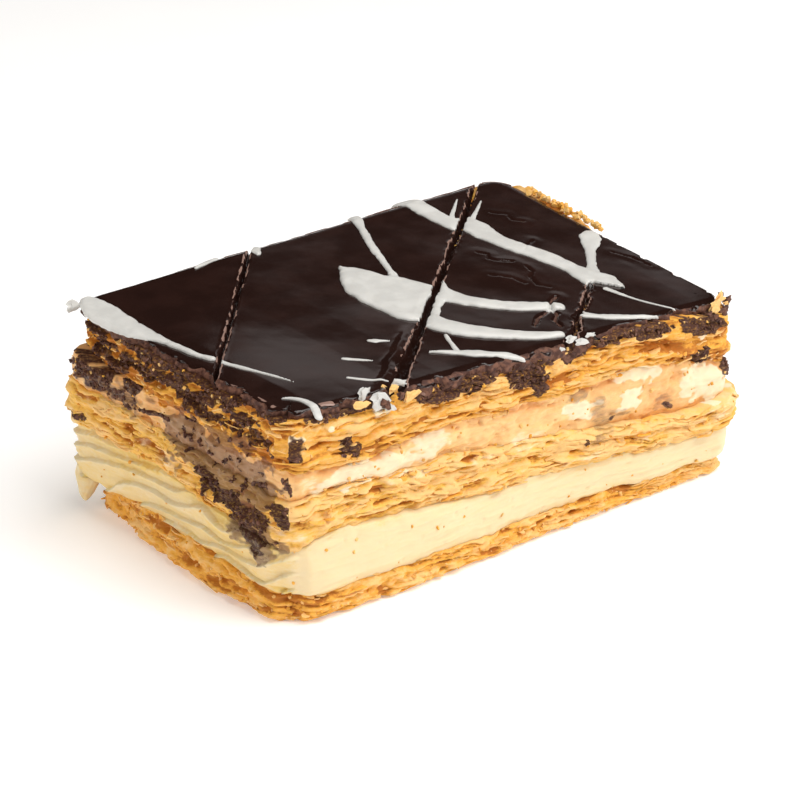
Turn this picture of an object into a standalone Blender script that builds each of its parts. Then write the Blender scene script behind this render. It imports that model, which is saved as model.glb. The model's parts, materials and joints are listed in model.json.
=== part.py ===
"""Chocolate senorita pastry: three flaky sheets, two creams and a scored chocolate glaze.

Origin at the middle of the underside, +X along the long front side, +Y from the
front side to the back side, +Z up. Corners, seen from above and going round:
A front left, B front right, C back right, D back left.
"""
import math
import random

import bmesh
import bpy

MM = 0.001

# Driving sizes
SLICE_LENGTH = 115.0 * MM
SLICE_DEPTH = 71.0 * MM
CORNER_RADIUS = 4.5 * MM
LAYER_GAP = 0.3 * MM
CORE_INSET = 8.0 * MM
RING_POINTS = 96
SCORE_DEPTH = 1.5 * MM
CENTRE_X = 0.531 * MM
CENTRE_Y = -0.351 * MM

# Where the layers meet, in mm: heights along the front side, then at D and C.
FRONT_X = (-58, -50, -40, -30, -20, -10, 0, 10, 20, 30, 40, 50, 58)
MEETING_HEIGHTS = (
    ((0, 0, 0, 0, 0, 0, 0, 0, 0, 0, 0, 0, 0), 0, 0),
    ((6.6, 6.0, 5.7, 5.2, 5.0, 4.7, 4.9, 5.0, 4.9, 4.3, 4.0, 3.6, 3.4), 8.6, 5.5),
    ((15.4, 16.5, 17.0, 16.2, 15.2, 13.6, 13.4, 13.0, 12.5, 12.0, 11.5, 11.2, 12.2), 21.0, 17.0),
    ((24.4, 24.5, 24.5, 24.3, 24.0, 23.4, 22.0, 20.8, 19.2, 18.0, 17.2, 17.2, 18.0), 29.0, 24.5),
    ((31.4, 30.6, 28.9, 30.6, 31.0, 30.5, 30.0, 29.6, 29.6, 30.6, 28.8, 26.6, 25.6), 34.8, 34.0),
    ((40.9, 40.9, 40.2, 39.6, 39.3, 38.8, 38.4, 38.2, 37.9, 37.5, 37.0, 36.4, 36.0), 42.4, 43.6),
    ((43.0, 43.0, 42.4, 41.9, 41.6, 41.1, 40.8, 40.5, 40.2, 39.8, 39.3, 38.8, 38.3), 44.7, 45.9),
)

# How far each layer stands out from the slice outline, in mm, at
# A, front middle, B, right middle, C, back middle, D, left middle.
LAYERS = (
    {
        "name": "pastry_bottom", "floor": 0, "roof": 1, "seed": 11, "rough": 0.65, "cells": 34,
        "stand": (-2.0, 0.4, 1.2, 0.4, 0.0, 0.2, -4.8, 0.2),
        "levels": ((0.0, -1.2), (0.1, 0.1), (0.3, 0.6), (0.5, -0.5), (0.7, 0.5), (0.88, -0.2), (1.0, -0.6)),
        "colour": (0.72, 0.40, 0.12), "roughness": 0.75,
    },
    {
        "name": "cream_lower", "floor": 1, "roof": 2, "seed": 22, "rough": 0.4, "cells": 26,
        "stand": (-0.6, 0.3, 2.6, 0.6, 0.2, 0.2, 1.0, 0.0),
        "levels": ((0.0, -0.5), (0.2, 0.3), (0.55, 0.6), (0.85, 0.3), (1.0, -0.4)),
        "colour": (0.88, 0.74, 0.46), "roughness": 0.45,
    },
    {
        "name": "pastry_middle", "floor": 2, "roof": 3, "seed": 33, "rough": 0.6, "cells": 36,
        "stand": (-0.4, 0.2, 4.2, 1.0, 0.4, 0.6, 2.4, 0.3),
        "levels": ((0.0, -0.5), (0.15, 0.2), (0.35, 0.7), (0.55, -0.4), (0.75, 0.6), (1.0, -0.5)),
        "colour": (0.78, 0.50, 0.20), "roughness": 0.75,
    },
    {
        "name": "cream_upper", "floor": 3, "roof": 4, "seed": 44, "rough": 0.4, "cells": 30,
        "stand": (-1.0, -0.3, 2.0, -0.4, -0.6, -0.8, 1.2, -0.9),
        "levels": ((0.0, -0.4), (0.3, 0.3), (0.7, 0.4), (1.0, -0.5)),
        "colour": (0.87, 0.76, 0.56), "roughness": 0.45,
    },
    {
        "name": "pastry_top", "floor": 4, "roof": 5, "seed": 55, "rough": 0.7, "cells": 36,
        "stand": (-0.4, 0.5, 2.0, 1.2, 2.0, 0.4, -2.6, 0.1),
        "levels": ((0.0, -0.5), (0.14, 0.3), (0.32, 0.8), (0.5, -0.4), (0.68, 0.5), (0.86, -0.2), (1.0, -0.8)),
        "colour": (0.66, 0.33, 0.09), "roughness": 0.75,
    },
)

GLAZE_STAND = (-1.4, 0.2, -1.6, -0.3, 0.2, 0.6, 0.0, -1.2)
GLAZE_RIM = ((0.82, -0.2), (0.4, 0.1), (0.0, -0.6))
GLAZE_CELLS = (60, 36)

# Score lines across the glaze, start and end in mm
SCORES = (
    ((-66.0, -22.9), (-4.5, 44.0)),
    ((-42.0, -43.8), (62.0, 45.8)),
    ((2.0, -43.5), (37.2, -16.2)),
)

# Icing strokes: crown height, then stations of (x, y, width) in mm. Each stroke stays on
# the side of the score lines that its first station is on.
STROKES = (
    (1.5, ((-59.0, 37.0, 3.0), (-56.5, 34.5, 5.0), (-55.0, 29.0, 7.4), (-55.3, 22.0, 7.0), (-54.4, 15.0, 5.2),
           (-52.6, 8.0, 3.0), (-51.2, 1.0, 2.6), (-50.6, -5.0, 2.6))),
    (1.1, ((-49.4, -7.6, 2.6), (-47.4, -13.0, 2.3))),
    (1.4, ((33.0, 38.0, 4.6), (33.2, 31.0, 4.8), (33.6, 22.0, 5.4))),
    (1.4, ((36.4, 19.0, 8.0), (35.8, 15.0, 5.8), (37.9, 9.0, 5.4), (38.8, 1.0, 5.0), (38.9, -7.0, 5.0),
           (39.6, -13.0, 7.6), (41.4, -18.6, 8.2), (42.6, -23.6, 4.2), (43.6, -27.6, 2.3))),
    (1.2, ((57.0, 5.0, 3.4), (53.6, 1.2, 3.4), (49.6, -3.2, 3.0), (45.6, -7.6, 2.8), (41.4, -12.0, 2.8))),
    (1.0, ((17.8, 37.6, 2.4), (14.4, 31.0, 2.3), (10.9, 23.5, 2.3), (7.4, 15.0, 2.3), (4.6, 8.4, 2.3))),
    (1.7, ((-2.0, 19.0, 4.0), (-1.6, 14.0, 8.4), (-0.8, 8.6, 11.4), (0.0, 2.4, 15.0), (0.6, -4.0, 18.0))),
    (1.3, ((8.4, -1.0, 8.0), (6.0, -7.0, 6.6), (9.2, -12.6, 5.4), (14.6, -16.6, 5.0), (19.6, -20.4, 4.6),
           (22.6, -24.0, 4.0))),
    (1.0, ((25.4, -28.8, 2.6), (29.4, -32.4, 2.4))),
    (1.5, ((-3.4, -12.4, 8.4), (-4.6, -17.8, 6.4), (-1.2, -23.6, 6.0), (5.4, -28.0, 4.6), (11.0, -30.6, 3.0))),
    (1.2, ((-11.4, -27.6, 2.6), (-5.6, -31.6, 3.4), (-0.2, -35.0, 3.0))),
)

# Broken bits lying on the front rim: x, y, radius, height in mm
CHIPS = ((-36.4, -34.6, 2.8, 1.4), (-29.6, -34.8, 2.6, 1.2), (14.6, -34.0, 2.6, 0.9), (52.0, -34.0, 2.8, 1.2))

# A hang of custard and a crust bit at the back left corner: centre and half sizes in mm
DROPS = (
    ((-56.2, 34.6, 8.8), (2.2, 2.8, 4.6), 0),
    ((-56.7, 35.2, 5.2), (1.5, 1.9, 3.8), 8),
    ((-57.4, 32.6, 12.6), (2.2, 4.2, 2.4), 0),
)


def table(x, xs, ys):
    """Straight line reading of a table of values."""
    if x <= xs[0]:
        return ys[0]
    for i in range(1, len(xs)):
        if x <= xs[i]:
            f = (x - xs[i - 1]) / (xs[i] - xs[i - 1])
            return ys[i - 1] + (ys[i] - ys[i - 1]) * f
    return ys[-1]


def meeting_height(k, x, y):
    """Height of meeting surface k: from the front side to the line through D and C."""
    front, at_d, at_c = MEETING_HEIGHTS[k]
    u = min(max((x / MM + 57.5) / 115.0, 0.0), 1.0)
    v = (y / MM + 35.5) / 71.0
    near = table(x / MM, FRONT_X, front)
    far = at_d + (at_c - at_d) * u
    return (near + (far - near) * v) * MM


def outline(n):
    """Rounded rectangle of the slice: points, outward directions and place round the loop."""
    hx = SLICE_LENGTH / 2.0
    hy = SLICE_DEPTH / 2.0
    r = CORNER_RADIUS
    straight_x = 2.0 * (hx - r)
    straight_y = 2.0 * (hy - r)
    arc = math.pi * r / 2.0
    total = 2.0 * (straight_x + straight_y) + 4.0 * arc
    sides = (
        (straight_x, (-hx + r, -hy), (1.0, 0.0), (hx - r, -hy + r), -90.0),
        (straight_y, (hx, -hy + r), (0.0, 1.0), (hx - r, hy - r), 0.0),
        (straight_x, (hx - r, hy), (-1.0, 0.0), (-hx + r, hy - r), 90.0),
        (straight_y, (-hx, hy - r), (0.0, -1.0), (-hx + r, -hy + r), 180.0),
    )
    result = []
    for i in range(n):
        s = (i + 0.5) / n * total
        for side, (length, start, way, middle, turn) in enumerate(sides):
            if s <= length:
                normal = (way[1], -way[0])
                x = start[0] + way[0] * s
                y = start[1] + way[1] * s
                place = side * 2.0 + 0.5 + 1.0 * (s / length) + 0.5 * (s / length - 0.5)
                break
            s -= length
            if s <= arc:
                angle = math.radians(turn + 90.0 * s / arc)
                normal = (math.cos(angle), math.sin(angle))
                x = middle[0] + r * normal[0]
                y = middle[1] + r * normal[1]
                place = side * 2.0 + 1.75 + 0.5 * (s / arc)
                break
            s -= arc
        result.append((x, y, normal[0], normal[1], place % 8.0))
    return result


def round_value(values, place):
    """Smooth reading of eight values set round the loop."""
    i = int(place) % 8
    f = place - int(place)
    f = f * f * (3.0 - 2.0 * f)
    return values[i] + (values[(i + 1) % 8] - values[i]) * f


def ripple(rng, cells):
    """Random values round the loop, read by a fraction from 0 to 1."""
    values = [rng.uniform(-1.0, 1.0) for _ in range(cells)]

    def read(fraction):
        t = (fraction % 1.0) * cells
        i = int(t) % cells
        f = t - int(t)
        f = f * f * (3.0 - 2.0 * f)
        return values[i] + (values[(i + 1) % cells] - values[i]) * f

    return read


def grow(bm, ring, places):
    """Next ring of a loft, pulled out from the last ring and set to its places."""
    edges = []
    for i, vert in enumerate(ring):
        after = ring[(i + 1) % len(ring)]
        edges.append(bm.edges.get((vert, after)))
    made = bmesh.ops.extrude_edge_only(bm, edges=edges)["geom"]
    fresh = {item for item in made if isinstance(item, bmesh.types.BMVert)}
    result = []
    for vert, place in zip(ring, places):
        for edge in vert.link_edges:
            other = edge.other_vert(vert)
            if other in fresh:
                other.co = place
                result.append(other)
                break
    return result


def close_end(bm, ring, place):
    """Last ring drawn together to one point."""
    last = grow(bm, ring, [place] * len(ring))
    bmesh.ops.pointmerge(bm, verts=last, merge_co=place)


def loft(rings, first_point, last_point):
    """Closed body through rings of points, drawn to a point at each end."""
    bm = bmesh.new()
    made = bmesh.ops.create_circle(bm, cap_ends=False, segments=len(rings[0]), radius=0.01)
    base = sorted(made["verts"], key=lambda vert: vert.index)
    bm.verts.ensure_lookup_table()
    order = [base[0]]
    while len(order) < len(base):
        for edge in order[-1].link_edges:
            other = edge.other_vert(order[-1])
            if other not in order:
                order.append(other)
                break
    for vert, place in zip(order, rings[0]):
        vert.co = place
    ring = order
    for places in rings[1:]:
        ring = grow(bm, ring, places)
    close_end(bm, ring, last_point)
    close_end(bm, order, first_point)
    bmesh.ops.recalc_face_normals(bm, faces=bm.faces)
    return bm


def to_object(bm, name, collection):
    """Body moved so that the object's origin is the middle of the underside."""
    triangles_only(bm)
    bmesh.ops.translate(bm, verts=bm.verts, vec=(-CENTRE_X, -CENTRE_Y, 0.0))
    mesh = bpy.data.meshes.new(name)
    bm.to_mesh(mesh)
    bm.free()
    obj = bpy.data.objects.new(name, mesh)
    collection.objects.link(obj)
    return obj


def core_place(x, y, share=1.0):
    """Place inside the slice for a place on its outline, drawn in evenly towards the middle."""
    along = (1.0 - CORE_INSET / (SLICE_LENGTH / 2.0)) * share
    across = (1.0 - CORE_INSET / (SLICE_DEPTH / 2.0)) * share
    return x * along, y * across


def core_ring(points, k, lift, share=1.0):
    """Ring inside the slice that both bodies at a meeting surface share."""
    ring = []
    for x, y, _, _, _ in points:
        px, py = core_place(x, y, share)
        ring.append((px, py, meeting_height(k, px, py) + lift))
    return ring


def layer_body(points, spec):
    """One sheet or cream with its cut sides in relief."""
    rng = random.Random(spec["seed"])
    low = spec["floor"]
    high = spec["roof"]
    lift = LAYER_GAP / 2.0 if low else 0.0
    drop = LAYER_GAP / 2.0
    waves = [ripple(rng, spec["cells"]) for _ in spec["levels"]]
    sway = ripple(rng, 14)
    lean = ripple(rng, 20)
    rings = [core_ring(points, low, lift)]
    for j, (t, out) in enumerate(spec["levels"]):
        ring = []
        for i, (x, y, nx, ny, place) in enumerate(points):
            f = i / len(points)
            stand = round_value(spec["stand"], place) + out
            stand += spec["rough"] * waves[j](f) + 0.35 * sway(f)
            stand *= MM
            px = x + nx * stand
            py = y + ny * stand
            bottom = meeting_height(low, px, py) + lift
            top = meeting_height(high, px, py) - drop
            level = t
            if 0.0 < t < 1.0:
                level = t + 0.05 * lean(f + 0.13 * j)
            ring.append((px, py, bottom + (top - bottom) * level))
        rings.append(ring)
    rings.append(core_ring(points, high, -drop))
    first = (0.0, 0.0, meeting_height(low, 0.0, 0.0) + lift)
    last = (0.0, 0.0, meeting_height(high, 0.0, 0.0) - drop)
    return loft(rings, first, last)


def score_side(line, x, y):
    """Signed distance in mm from a score line."""
    (ax, ay), (bx, by) = line
    length = math.hypot(bx - ax, by - ay)
    return ((bx - ax) * (y - ay) - (by - ay) * (x - ax)) / length


def score_share(line, x, y):
    """Place along a score line, from 0 at its start to 1 at its end."""
    (ax, ay), (bx, by) = line
    return ((bx - ax) * (x - ax) + (by - ay) * (y - ay)) / ((bx - ax) ** 2 + (by - ay) ** 2)


def on_score(line, x, y):
    """Whether a place in mm lies in the cut of a score line."""
    return abs(score_side(line, x, y)) < 0.72 and score_share(line, x, y) < 1.0


def icing_rise(x, y):
    """Height of the icing over the chocolate at a place, all in mm."""
    rise = 0.0
    for crown, stations in STROKES:
        first = stations[0]
        crossed = False
        for line in SCORES:
            other_side = score_side(line, x, y) * score_side(line, first[0], first[1]) < 0.0
            crossed = crossed or (other_side and score_share(line, x, y) < 1.0)
        if crossed:
            continue
        for a, b in zip(stations, stations[1:]):
            dx = b[0] - a[0]
            dy = b[1] - a[1]
            f = ((x - a[0]) * dx + (y - a[1]) * dy) / (dx * dx + dy * dy)
            f = min(max(f, 0.0), 1.0)
            away = math.hypot(x - a[0] - dx * f, y - a[1] - dy * f)
            half = (a[2] + (b[2] - a[2]) * f) / 2.0
            if away < half:
                rise = max(rise, crown * math.sqrt(1.0 - (away / half) ** 2))
    for cx, cy, radius, height in CHIPS:
        away = math.hypot(x - cx, y - cy)
        if away < radius:
            rise = max(rise, height * (1.0 - away / radius))
    return rise


def glaze_body():
    """Chocolate sheet with score lines pressed in and the thick icing standing on it."""
    rng = random.Random(66)
    sway = ripple(rng, 22)
    edge = outline(360)
    hx = SLICE_LENGTH / 2.0
    hy = SLICE_DEPTH / 2.0
    r = CORNER_RADIUS
    bm = bmesh.new()
    bmesh.ops.create_grid(bm, x_segments=GLAZE_CELLS[0], y_segments=GLAZE_CELLS[1], size=1.0)
    for face in list(bm.faces):
        corners = sorted(face.verts, key=lambda vert: vert.co.x + vert.co.y)
        bmesh.utils.face_split(face, corners[0], corners[-1])
    rims = {vert for vert in bm.verts if vert.is_boundary}
    nearest = {}
    for vert in bm.verts:
        x = vert.co.x * hx
        y = vert.co.y * hy
        over_x = abs(x) - (hx - r)
        over_y = abs(y) - (hy - r)
        if over_x > 0.0 and over_y > 0.0:
            far = math.hypot(over_x, over_y)
            reach = min(1.0, r * max(over_x, over_y) / r / far)
            x = math.copysign(hx - r + over_x * reach, x)
            y = math.copysign(hy - r + over_y * reach, y)
        i = min(range(len(edge)), key=lambda k: (edge[k][0] - x) ** 2 + (edge[k][1] - y) ** 2)
        away = math.hypot(edge[i][0] - x, edge[i][1] - y)
        stand = (round_value(GLAZE_STAND, edge[i][4]) + 0.7 * sway(i / len(edge))) * MM
        pull = max(0.0, 1.0 - away / (10.0 * MM))
        vert.co.x = x + edge[i][2] * stand * pull
        vert.co.y = y + edge[i][3] * stand * pull
        nearest[vert] = i
    for line in SCORES:
        (ax, ay), (bx, by) = line
        length = math.hypot(bx - ax, by - ay)
        for vert in bm.verts:
            side = score_side(line, vert.co.x / MM, vert.co.y / MM)
            if vert not in rims and on_score(line, vert.co.x / MM, vert.co.y / MM):
                vert.co.x += (by - ay) / length * side * MM
                vert.co.y -= (bx - ax) / length * side * MM
    for vert in bm.verts:
        x = vert.co.x
        y = vert.co.y
        top = meeting_height(6, x, y)
        thick = top - meeting_height(5, x, y)
        if vert in rims:
            vert.co.z = top - (1.0 - GLAZE_RIM[0][0]) * thick
        elif any(on_score(line, x / MM, y / MM) for line in SCORES):
            vert.co.z = top - SCORE_DEPTH
        else:
            vert.co.z = top + icing_rise(x / MM, y / MM) * MM
    ring = [next(iter(rims))]
    while len(ring) < len(rims):
        for side in ring[-1].link_edges:
            other = side.other_vert(ring[-1])
            if side.is_boundary and other not in ring:
                ring.append(other)
                break
    low = []
    bottom = []
    core = []
    for vert in ring:
        x, y, nx, ny, place = edge[nearest[vert]]
        for t, out, store in ((GLAZE_RIM[1][0], GLAZE_RIM[1][1], low), (GLAZE_RIM[2][0], GLAZE_RIM[2][1], bottom)):
            px = vert.co.x + nx * out * MM
            py = vert.co.y + ny * out * MM
            floor = meeting_height(5, px, py) + LAYER_GAP / 2.0
            store.append((px, py, floor + (meeting_height(6, px, py) - floor) * t))
        px, py = core_place(x, y)
        core.append((px, py, meeting_height(5, px, py) + LAYER_GAP / 2.0))
    last = ring
    for places in (low, bottom, core):
        last = grow(bm, last, places)
    close_end(bm, last, (0.0, 0.0, meeting_height(5, 0.0, 0.0) + LAYER_GAP / 2.0))
    bmesh.ops.recalc_face_normals(bm, faces=bm.faces)
    return bm


def lump_body(centre, sizes, turn, segments=2):
    """Rough lump: an ico sphere scaled and turned."""
    bm = bmesh.new()
    bmesh.ops.create_icosphere(bm, subdivisions=segments, radius=1.0)
    bmesh.ops.scale(bm, vec=sizes, verts=bm.verts)
    for vert in bm.verts:
        x, y, z = vert.co
        c = math.cos(math.radians(turn))
        s = math.sin(math.radians(turn))
        vert.co = (x * c - y * s, x * s + y * c, z)
    bmesh.ops.translate(bm, vec=centre, verts=bm.verts)
    return bm


def fuse(target, tools):
    """One Boolean union of the target with a whole collection, applied, and the tools removed."""
    modifier = target.modifiers.new("shape", "BOOLEAN")
    modifier.operation = "UNION"
    modifier.operand_type = "COLLECTION"
    modifier.collection = tools
    modifier.solver = "MANIFOLD"
    bpy.ops.object.select_all(action="DESELECT")
    bpy.context.view_layer.objects.active = target
    target.select_set(True)
    bpy.ops.object.modifier_apply(modifier=modifier.name)
    for obj in list(tools.objects):
        bpy.data.objects.remove(obj)
    bpy.data.collections.remove(tools)


def triangles_only(bm):
    """All faces made triangles; a cut that lands on another edge is given its own middle point."""
    source = bm.faces.layers.int.get("source") or bm.faces.layers.int.new("source")
    for i, face in enumerate(bm.faces):
        face[source] = i
    bmesh.ops.triangulate(bm, faces=bm.faces)
    for edge in [edge for edge in bm.edges if len(edge.link_faces) == 4]:
        a, b = edge.verts
        groups = {}
        for face in edge.link_faces:
            groups.setdefault(face[source], []).append(face)
        pair = next(faces for faces in groups.values() if len(faces) == 2)
        middle = bm.verts.new((a.co + b.co) / 2.0)
        for face in pair:
            ring = list(face.verts)
            i = next(k for k, vert in enumerate(ring) if vert not in (a, b))
            tip = ring[i]
            after = ring[(i + 1) % 3]
            before = ring[(i + 2) % 3]
            bm.faces.remove(face)
            bm.faces.new((tip, after, middle))
            bm.faces.new((tip, middle, before))
    bm.normal_update()


def keep_main_body(obj):
    """Loose scraps and sealed hollows dropped."""
    bm = bmesh.new()
    bm.from_mesh(obj.data)
    triangles_only(bm)
    left = set(bm.faces)
    pieces = []
    while left:
        piece = set()
        front = [left.pop()]
        while front:
            face = front.pop()
            piece.add(face)
            for edge in face.edges:
                for other in edge.link_faces:
                    if other in left:
                        left.remove(other)
                        front.append(other)
        pieces.append(piece)
    pieces.sort(key=len)
    scraps = [face for piece in pieces[:-1] for face in piece]
    bmesh.ops.delete(bm, geom=scraps, context="FACES")
    bm.to_mesh(obj.data)
    bm.free()


def tool_collection(name, scene):
    """Collection for shapes that are joined or cut and don't stay."""
    tools = bpy.data.collections.new(name)
    scene.collection.children.link(tools)
    tools.hide_render = True
    return tools


def material(name, colour, roughness):
    """Plain surface of one node."""
    mat = bpy.data.materials.new(name)
    mat.use_nodes = True
    shader = mat.node_tree.nodes["Principled BSDF"]
    shader.inputs["Base Color"].default_value = (colour[0], colour[1], colour[2], 1.0)
    shader.inputs["Roughness"].default_value = roughness
    return mat


def main():
    for obj in list(bpy.data.objects):
        bpy.data.objects.remove(obj)
    scene = bpy.context.scene
    pastry = bpy.data.collections.new("chocolate_senorita_pastry")
    scene.collection.children.link(pastry)
    points = outline(RING_POINTS)

    for spec in LAYERS:
        obj = to_object(layer_body(points, spec), spec["name"], pastry)
        obj.data.materials.append(material(spec["name"], spec["colour"], spec["roughness"]))
        if spec["name"] == "cream_lower":
            tools = tool_collection("drops", scene)
            for centre, sizes, turn in DROPS:
                bm = lump_body([c * MM for c in centre], [s * MM for s in sizes], turn)
                drop = to_object(bm, "drop", tools)
                drop.display_type = "WIRE"
            fuse(obj, tools)
            keep_main_body(obj)

    glaze = to_object(glaze_body(), "glaze", pastry)
    glaze.data.materials.append(material("glaze", (0.055, 0.018, 0.012), 0.2))

    for obj in pastry.objects:
        bpy.ops.object.select_all(action="DESELECT")
        bpy.context.view_layer.objects.active = obj
        obj.select_set(True)
        bpy.ops.object.shade_flat()


main()
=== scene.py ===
"""Chocolate senorita pastry: flaky sheets, two creams and a scored, iced chocolate glaze.

Sizes of the slice are in mm on the slice's own middle; place() turns them into the
part's metres. Faces of the slice: 0 front, 1 right, 2 back, 3 left. Corners seen from
above: A front left, B front right, C back right, D back left.
"""

import json
import math

import bpy
import numpy as np
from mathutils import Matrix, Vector

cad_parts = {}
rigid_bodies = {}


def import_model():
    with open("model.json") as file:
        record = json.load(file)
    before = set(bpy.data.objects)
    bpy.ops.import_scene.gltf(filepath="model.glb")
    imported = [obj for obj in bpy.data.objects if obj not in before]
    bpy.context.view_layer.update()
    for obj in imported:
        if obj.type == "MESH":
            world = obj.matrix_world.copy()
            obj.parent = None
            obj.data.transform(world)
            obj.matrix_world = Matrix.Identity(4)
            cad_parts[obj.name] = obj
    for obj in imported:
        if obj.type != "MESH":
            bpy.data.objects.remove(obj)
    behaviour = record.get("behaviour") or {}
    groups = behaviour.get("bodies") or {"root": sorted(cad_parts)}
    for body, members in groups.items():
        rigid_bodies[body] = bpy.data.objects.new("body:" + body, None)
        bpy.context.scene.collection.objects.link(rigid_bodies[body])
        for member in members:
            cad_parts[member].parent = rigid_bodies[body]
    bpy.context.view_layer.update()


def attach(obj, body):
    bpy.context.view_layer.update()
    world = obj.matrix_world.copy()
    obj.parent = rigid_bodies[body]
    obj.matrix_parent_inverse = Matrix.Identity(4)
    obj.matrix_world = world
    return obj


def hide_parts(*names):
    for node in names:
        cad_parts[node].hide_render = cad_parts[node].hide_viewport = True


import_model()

bl_info = {
    "name": "Layered Pastry Slice",
    "version": (1, 0, 0),
    "blender": (4, 5, 0),
    "location": "View3D > Sidebar > Pastry",
    "description": "Builds a flaky layered slice with creams, glaze, icing, crumbs and a studio",
    "category": "Add Mesh",
}

MM = 0.001

# Masks that every pastry and cream piece carries for its material
MARK_NAMES = ("pale", "cocoa", "smear", "creamy")

# The slice in mm: its middle in the part's frame, half lengths, corner radius, and how far in
# from the outline a layer's closing faces start
MIDDLE = (0.531, -0.351)
HALF_X = 57.5
HALF_Y = 35.5
CORNER = 4.5
INSET = 8.0

# Points round the outline, in which the nearest way out of the slice is looked up
RING_POINTS = 720

# Depth of the glaze's broken side, rise of the top sheet's lip near C, and how much further
# the two lowest layers stand out near A, in mm
GLAZE_WALL = 2.7
LIP_RISE = 1.4
SKIRT = {"bottom_sheet": 1.9, "lower_custard": 1.2}

# Icing: left, front, width and depth of its grid in mm, and its thickness in metres
ICING_FIELD = (-63.0, -39.5, 125.0, 80.0)
ICING_THICKNESS = 0.0006

# Custard that hangs out at D: its middle, half sizes and lowest height in mm
HANG_MIDDLE = (-55.9, 33.6, 7.6)
HANG_HALF = (2.3, 2.9, 6.0)
HANG_LOWEST = 0.9

# Heights where the layers meet: along the front side, then at D and at C
FRONT_X = (-58, -50, -40, -30, -20, -10, 0, 10, 20, 30, 40, 50, 58)
MEETINGS = (
    ((0, 0, 0, 0, 0, 0, 0, 0, 0, 0, 0, 0, 0), 0, 0),
    ((6.6, 6.0, 5.7, 5.2, 5.0, 4.7, 4.9, 5.0, 4.9, 4.3, 4.0, 3.6, 3.4), 8.6, 5.5),
    ((15.4, 16.5, 17.0, 16.2, 15.2, 13.6, 13.4, 13.0, 12.5, 12.0, 11.5, 11.2, 12.2), 21.0, 17.0),
    ((24.4, 24.5, 24.5, 24.3, 24.0, 23.4, 22.0, 20.8, 19.2, 18.0, 17.2, 17.2, 18.0), 29.0, 24.5),
    ((31.4, 30.6, 28.9, 30.6, 31.0, 30.5, 30.0, 29.6, 29.6, 30.6, 28.8, 26.6, 25.6), 34.8, 34.0),
    ((40.9, 40.9, 40.2, 39.6, 39.3, 38.8, 38.4, 38.3, 38.5, 38.3, 37.8, 36.9, 36.0), 42.6, 45.0),
    ((43.0, 43.0, 42.4, 41.9, 41.6, 41.1, 40.8, 40.5, 40.2, 39.8, 39.3, 38.8, 38.3), 44.9, 47.3),
)

# Each layer: node, meeting surfaces below and above, seed, rows of its cut side, leaves in its
# thickness, roughness, how much paler it is painted on the front, right, back and left side as
# painted light and shade, how much of it is crushed or filmed with cream, how far it stands out
# at A, front, B, right, C, back, D and left, and its cut profile from its lowest to its highest edge
LAYERS = {
    "bottom_sheet": {
        "node": "pastry_bottom", "low": 0, "high": 1, "seed": 11, "rows": 30, "leaves": 5.5, "rough": 0.8,
        "painted_side_light": (-0.02, 0.1, -0.05, -0.1), "crush": 0.5, "film": 0.06,
        "stand": (-2.0, 0.4, 1.2, 0.4, 0.0, 0.2, -4.8, 0.2),
        "profile": ((0.0, -1.2), (0.1, 0.1), (0.3, 0.6), (0.5, -0.2), (0.7, 0.5), (0.88, -0.2),
                    (1.0, -0.6)),
    },
    "lower_custard": {
        "node": "cream_lower", "low": 1, "high": 2, "seed": 22, "rows": 34, "leaves": 0, "rough": 0.5,
        "painted_side_light": (0.12, 0.05, 0.0, -0.12), "crush": 0.0, "film": 0.0,
        "stand": (-0.6, 0.3, 2.6, 0.6, 0.2, 0.2, 1.0, 0.0),
        "profile": ((0.0, -0.5), (0.2, 0.3), (0.55, 0.6), (0.85, 0.3), (1.0, -0.4)),
    },
    "middle_sheet": {
        "node": "pastry_middle", "low": 2, "high": 3, "seed": 33, "rows": 46, "leaves": 8.5, "rough": 0.65,
        "painted_side_light": (0.16, 0.1, 0.04, -0.04), "crush": 0.35, "film": 0.42,
        "stand": (-0.4, 0.2, 4.2, 1.0, 0.4, 0.6, 2.4, 0.3),
        "profile": ((0.0, -0.5), (0.15, 0.2), (0.35, 0.7), (0.55, -0.2), (0.75, 0.6), (1.0, -0.5)),
    },
    "upper_cream": {
        "node": "cream_upper", "low": 3, "high": 4, "seed": 44, "rows": 40, "leaves": 0, "rough": 1.15,
        "painted_side_light": (-0.24, -0.2, -0.2, -0.34), "crush": 0.0, "film": 0.12,
        "stand": (-1.0, -0.3, 2.0, -0.4, -0.6, -0.8, 1.2, -0.9),
        "profile": ((0.0, -0.4), (0.3, 0.3), (0.7, 0.4), (1.0, -0.5)),
    },
    "top_sheet": {
        "node": "pastry_top", "low": 4, "high": 5, "seed": 55, "rows": 46, "leaves": 8.0, "rough": 0.9,
        "painted_side_light": (-0.04, -0.04, -0.1, -0.3), "crush": 0.3, "film": 0.05,
        "stand": (-0.4, 0.5, 2.0, 1.2, 2.0, 0.4, -2.6, 0.1),
        "profile": ((0.0, -0.5), (0.14, 0.3), (0.32, 0.8), (0.5, -0.3), (0.68, 0.5), (0.86, 0.0),
                    (1.0, -0.3)),
    },
}

# How far the glaze stands out at A, front, B, right, C, back, D and left
GLAZE_STAND = (-1.4, 0.2, -1.2, -0.6, 1.4, 0.9, -1.4, -1.0)

# Score lines: start, end, half widths at stations along them, roughness of their lips
SCORES = (
    ((-66.0, -22.9), (-4.5, 44.0), ((0.0, 0.45), (0.5, 0.38), (1.0, 0.42)), 0.4),
    ((-42.0, -43.8), (63.0, 45.6),
     ((0.0, 1.5), (0.22, 1.35), (0.34, 0.8), (0.45, 0.62), (0.6, 0.6), (1.0, 0.7)), 0.7),
    ((2.0, -43.5), (36.6, -16.7), ((0.0, 1.1), (0.4, 0.8), (0.8, 0.6), (1.0, 0.5)), 1.5),
)

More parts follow.
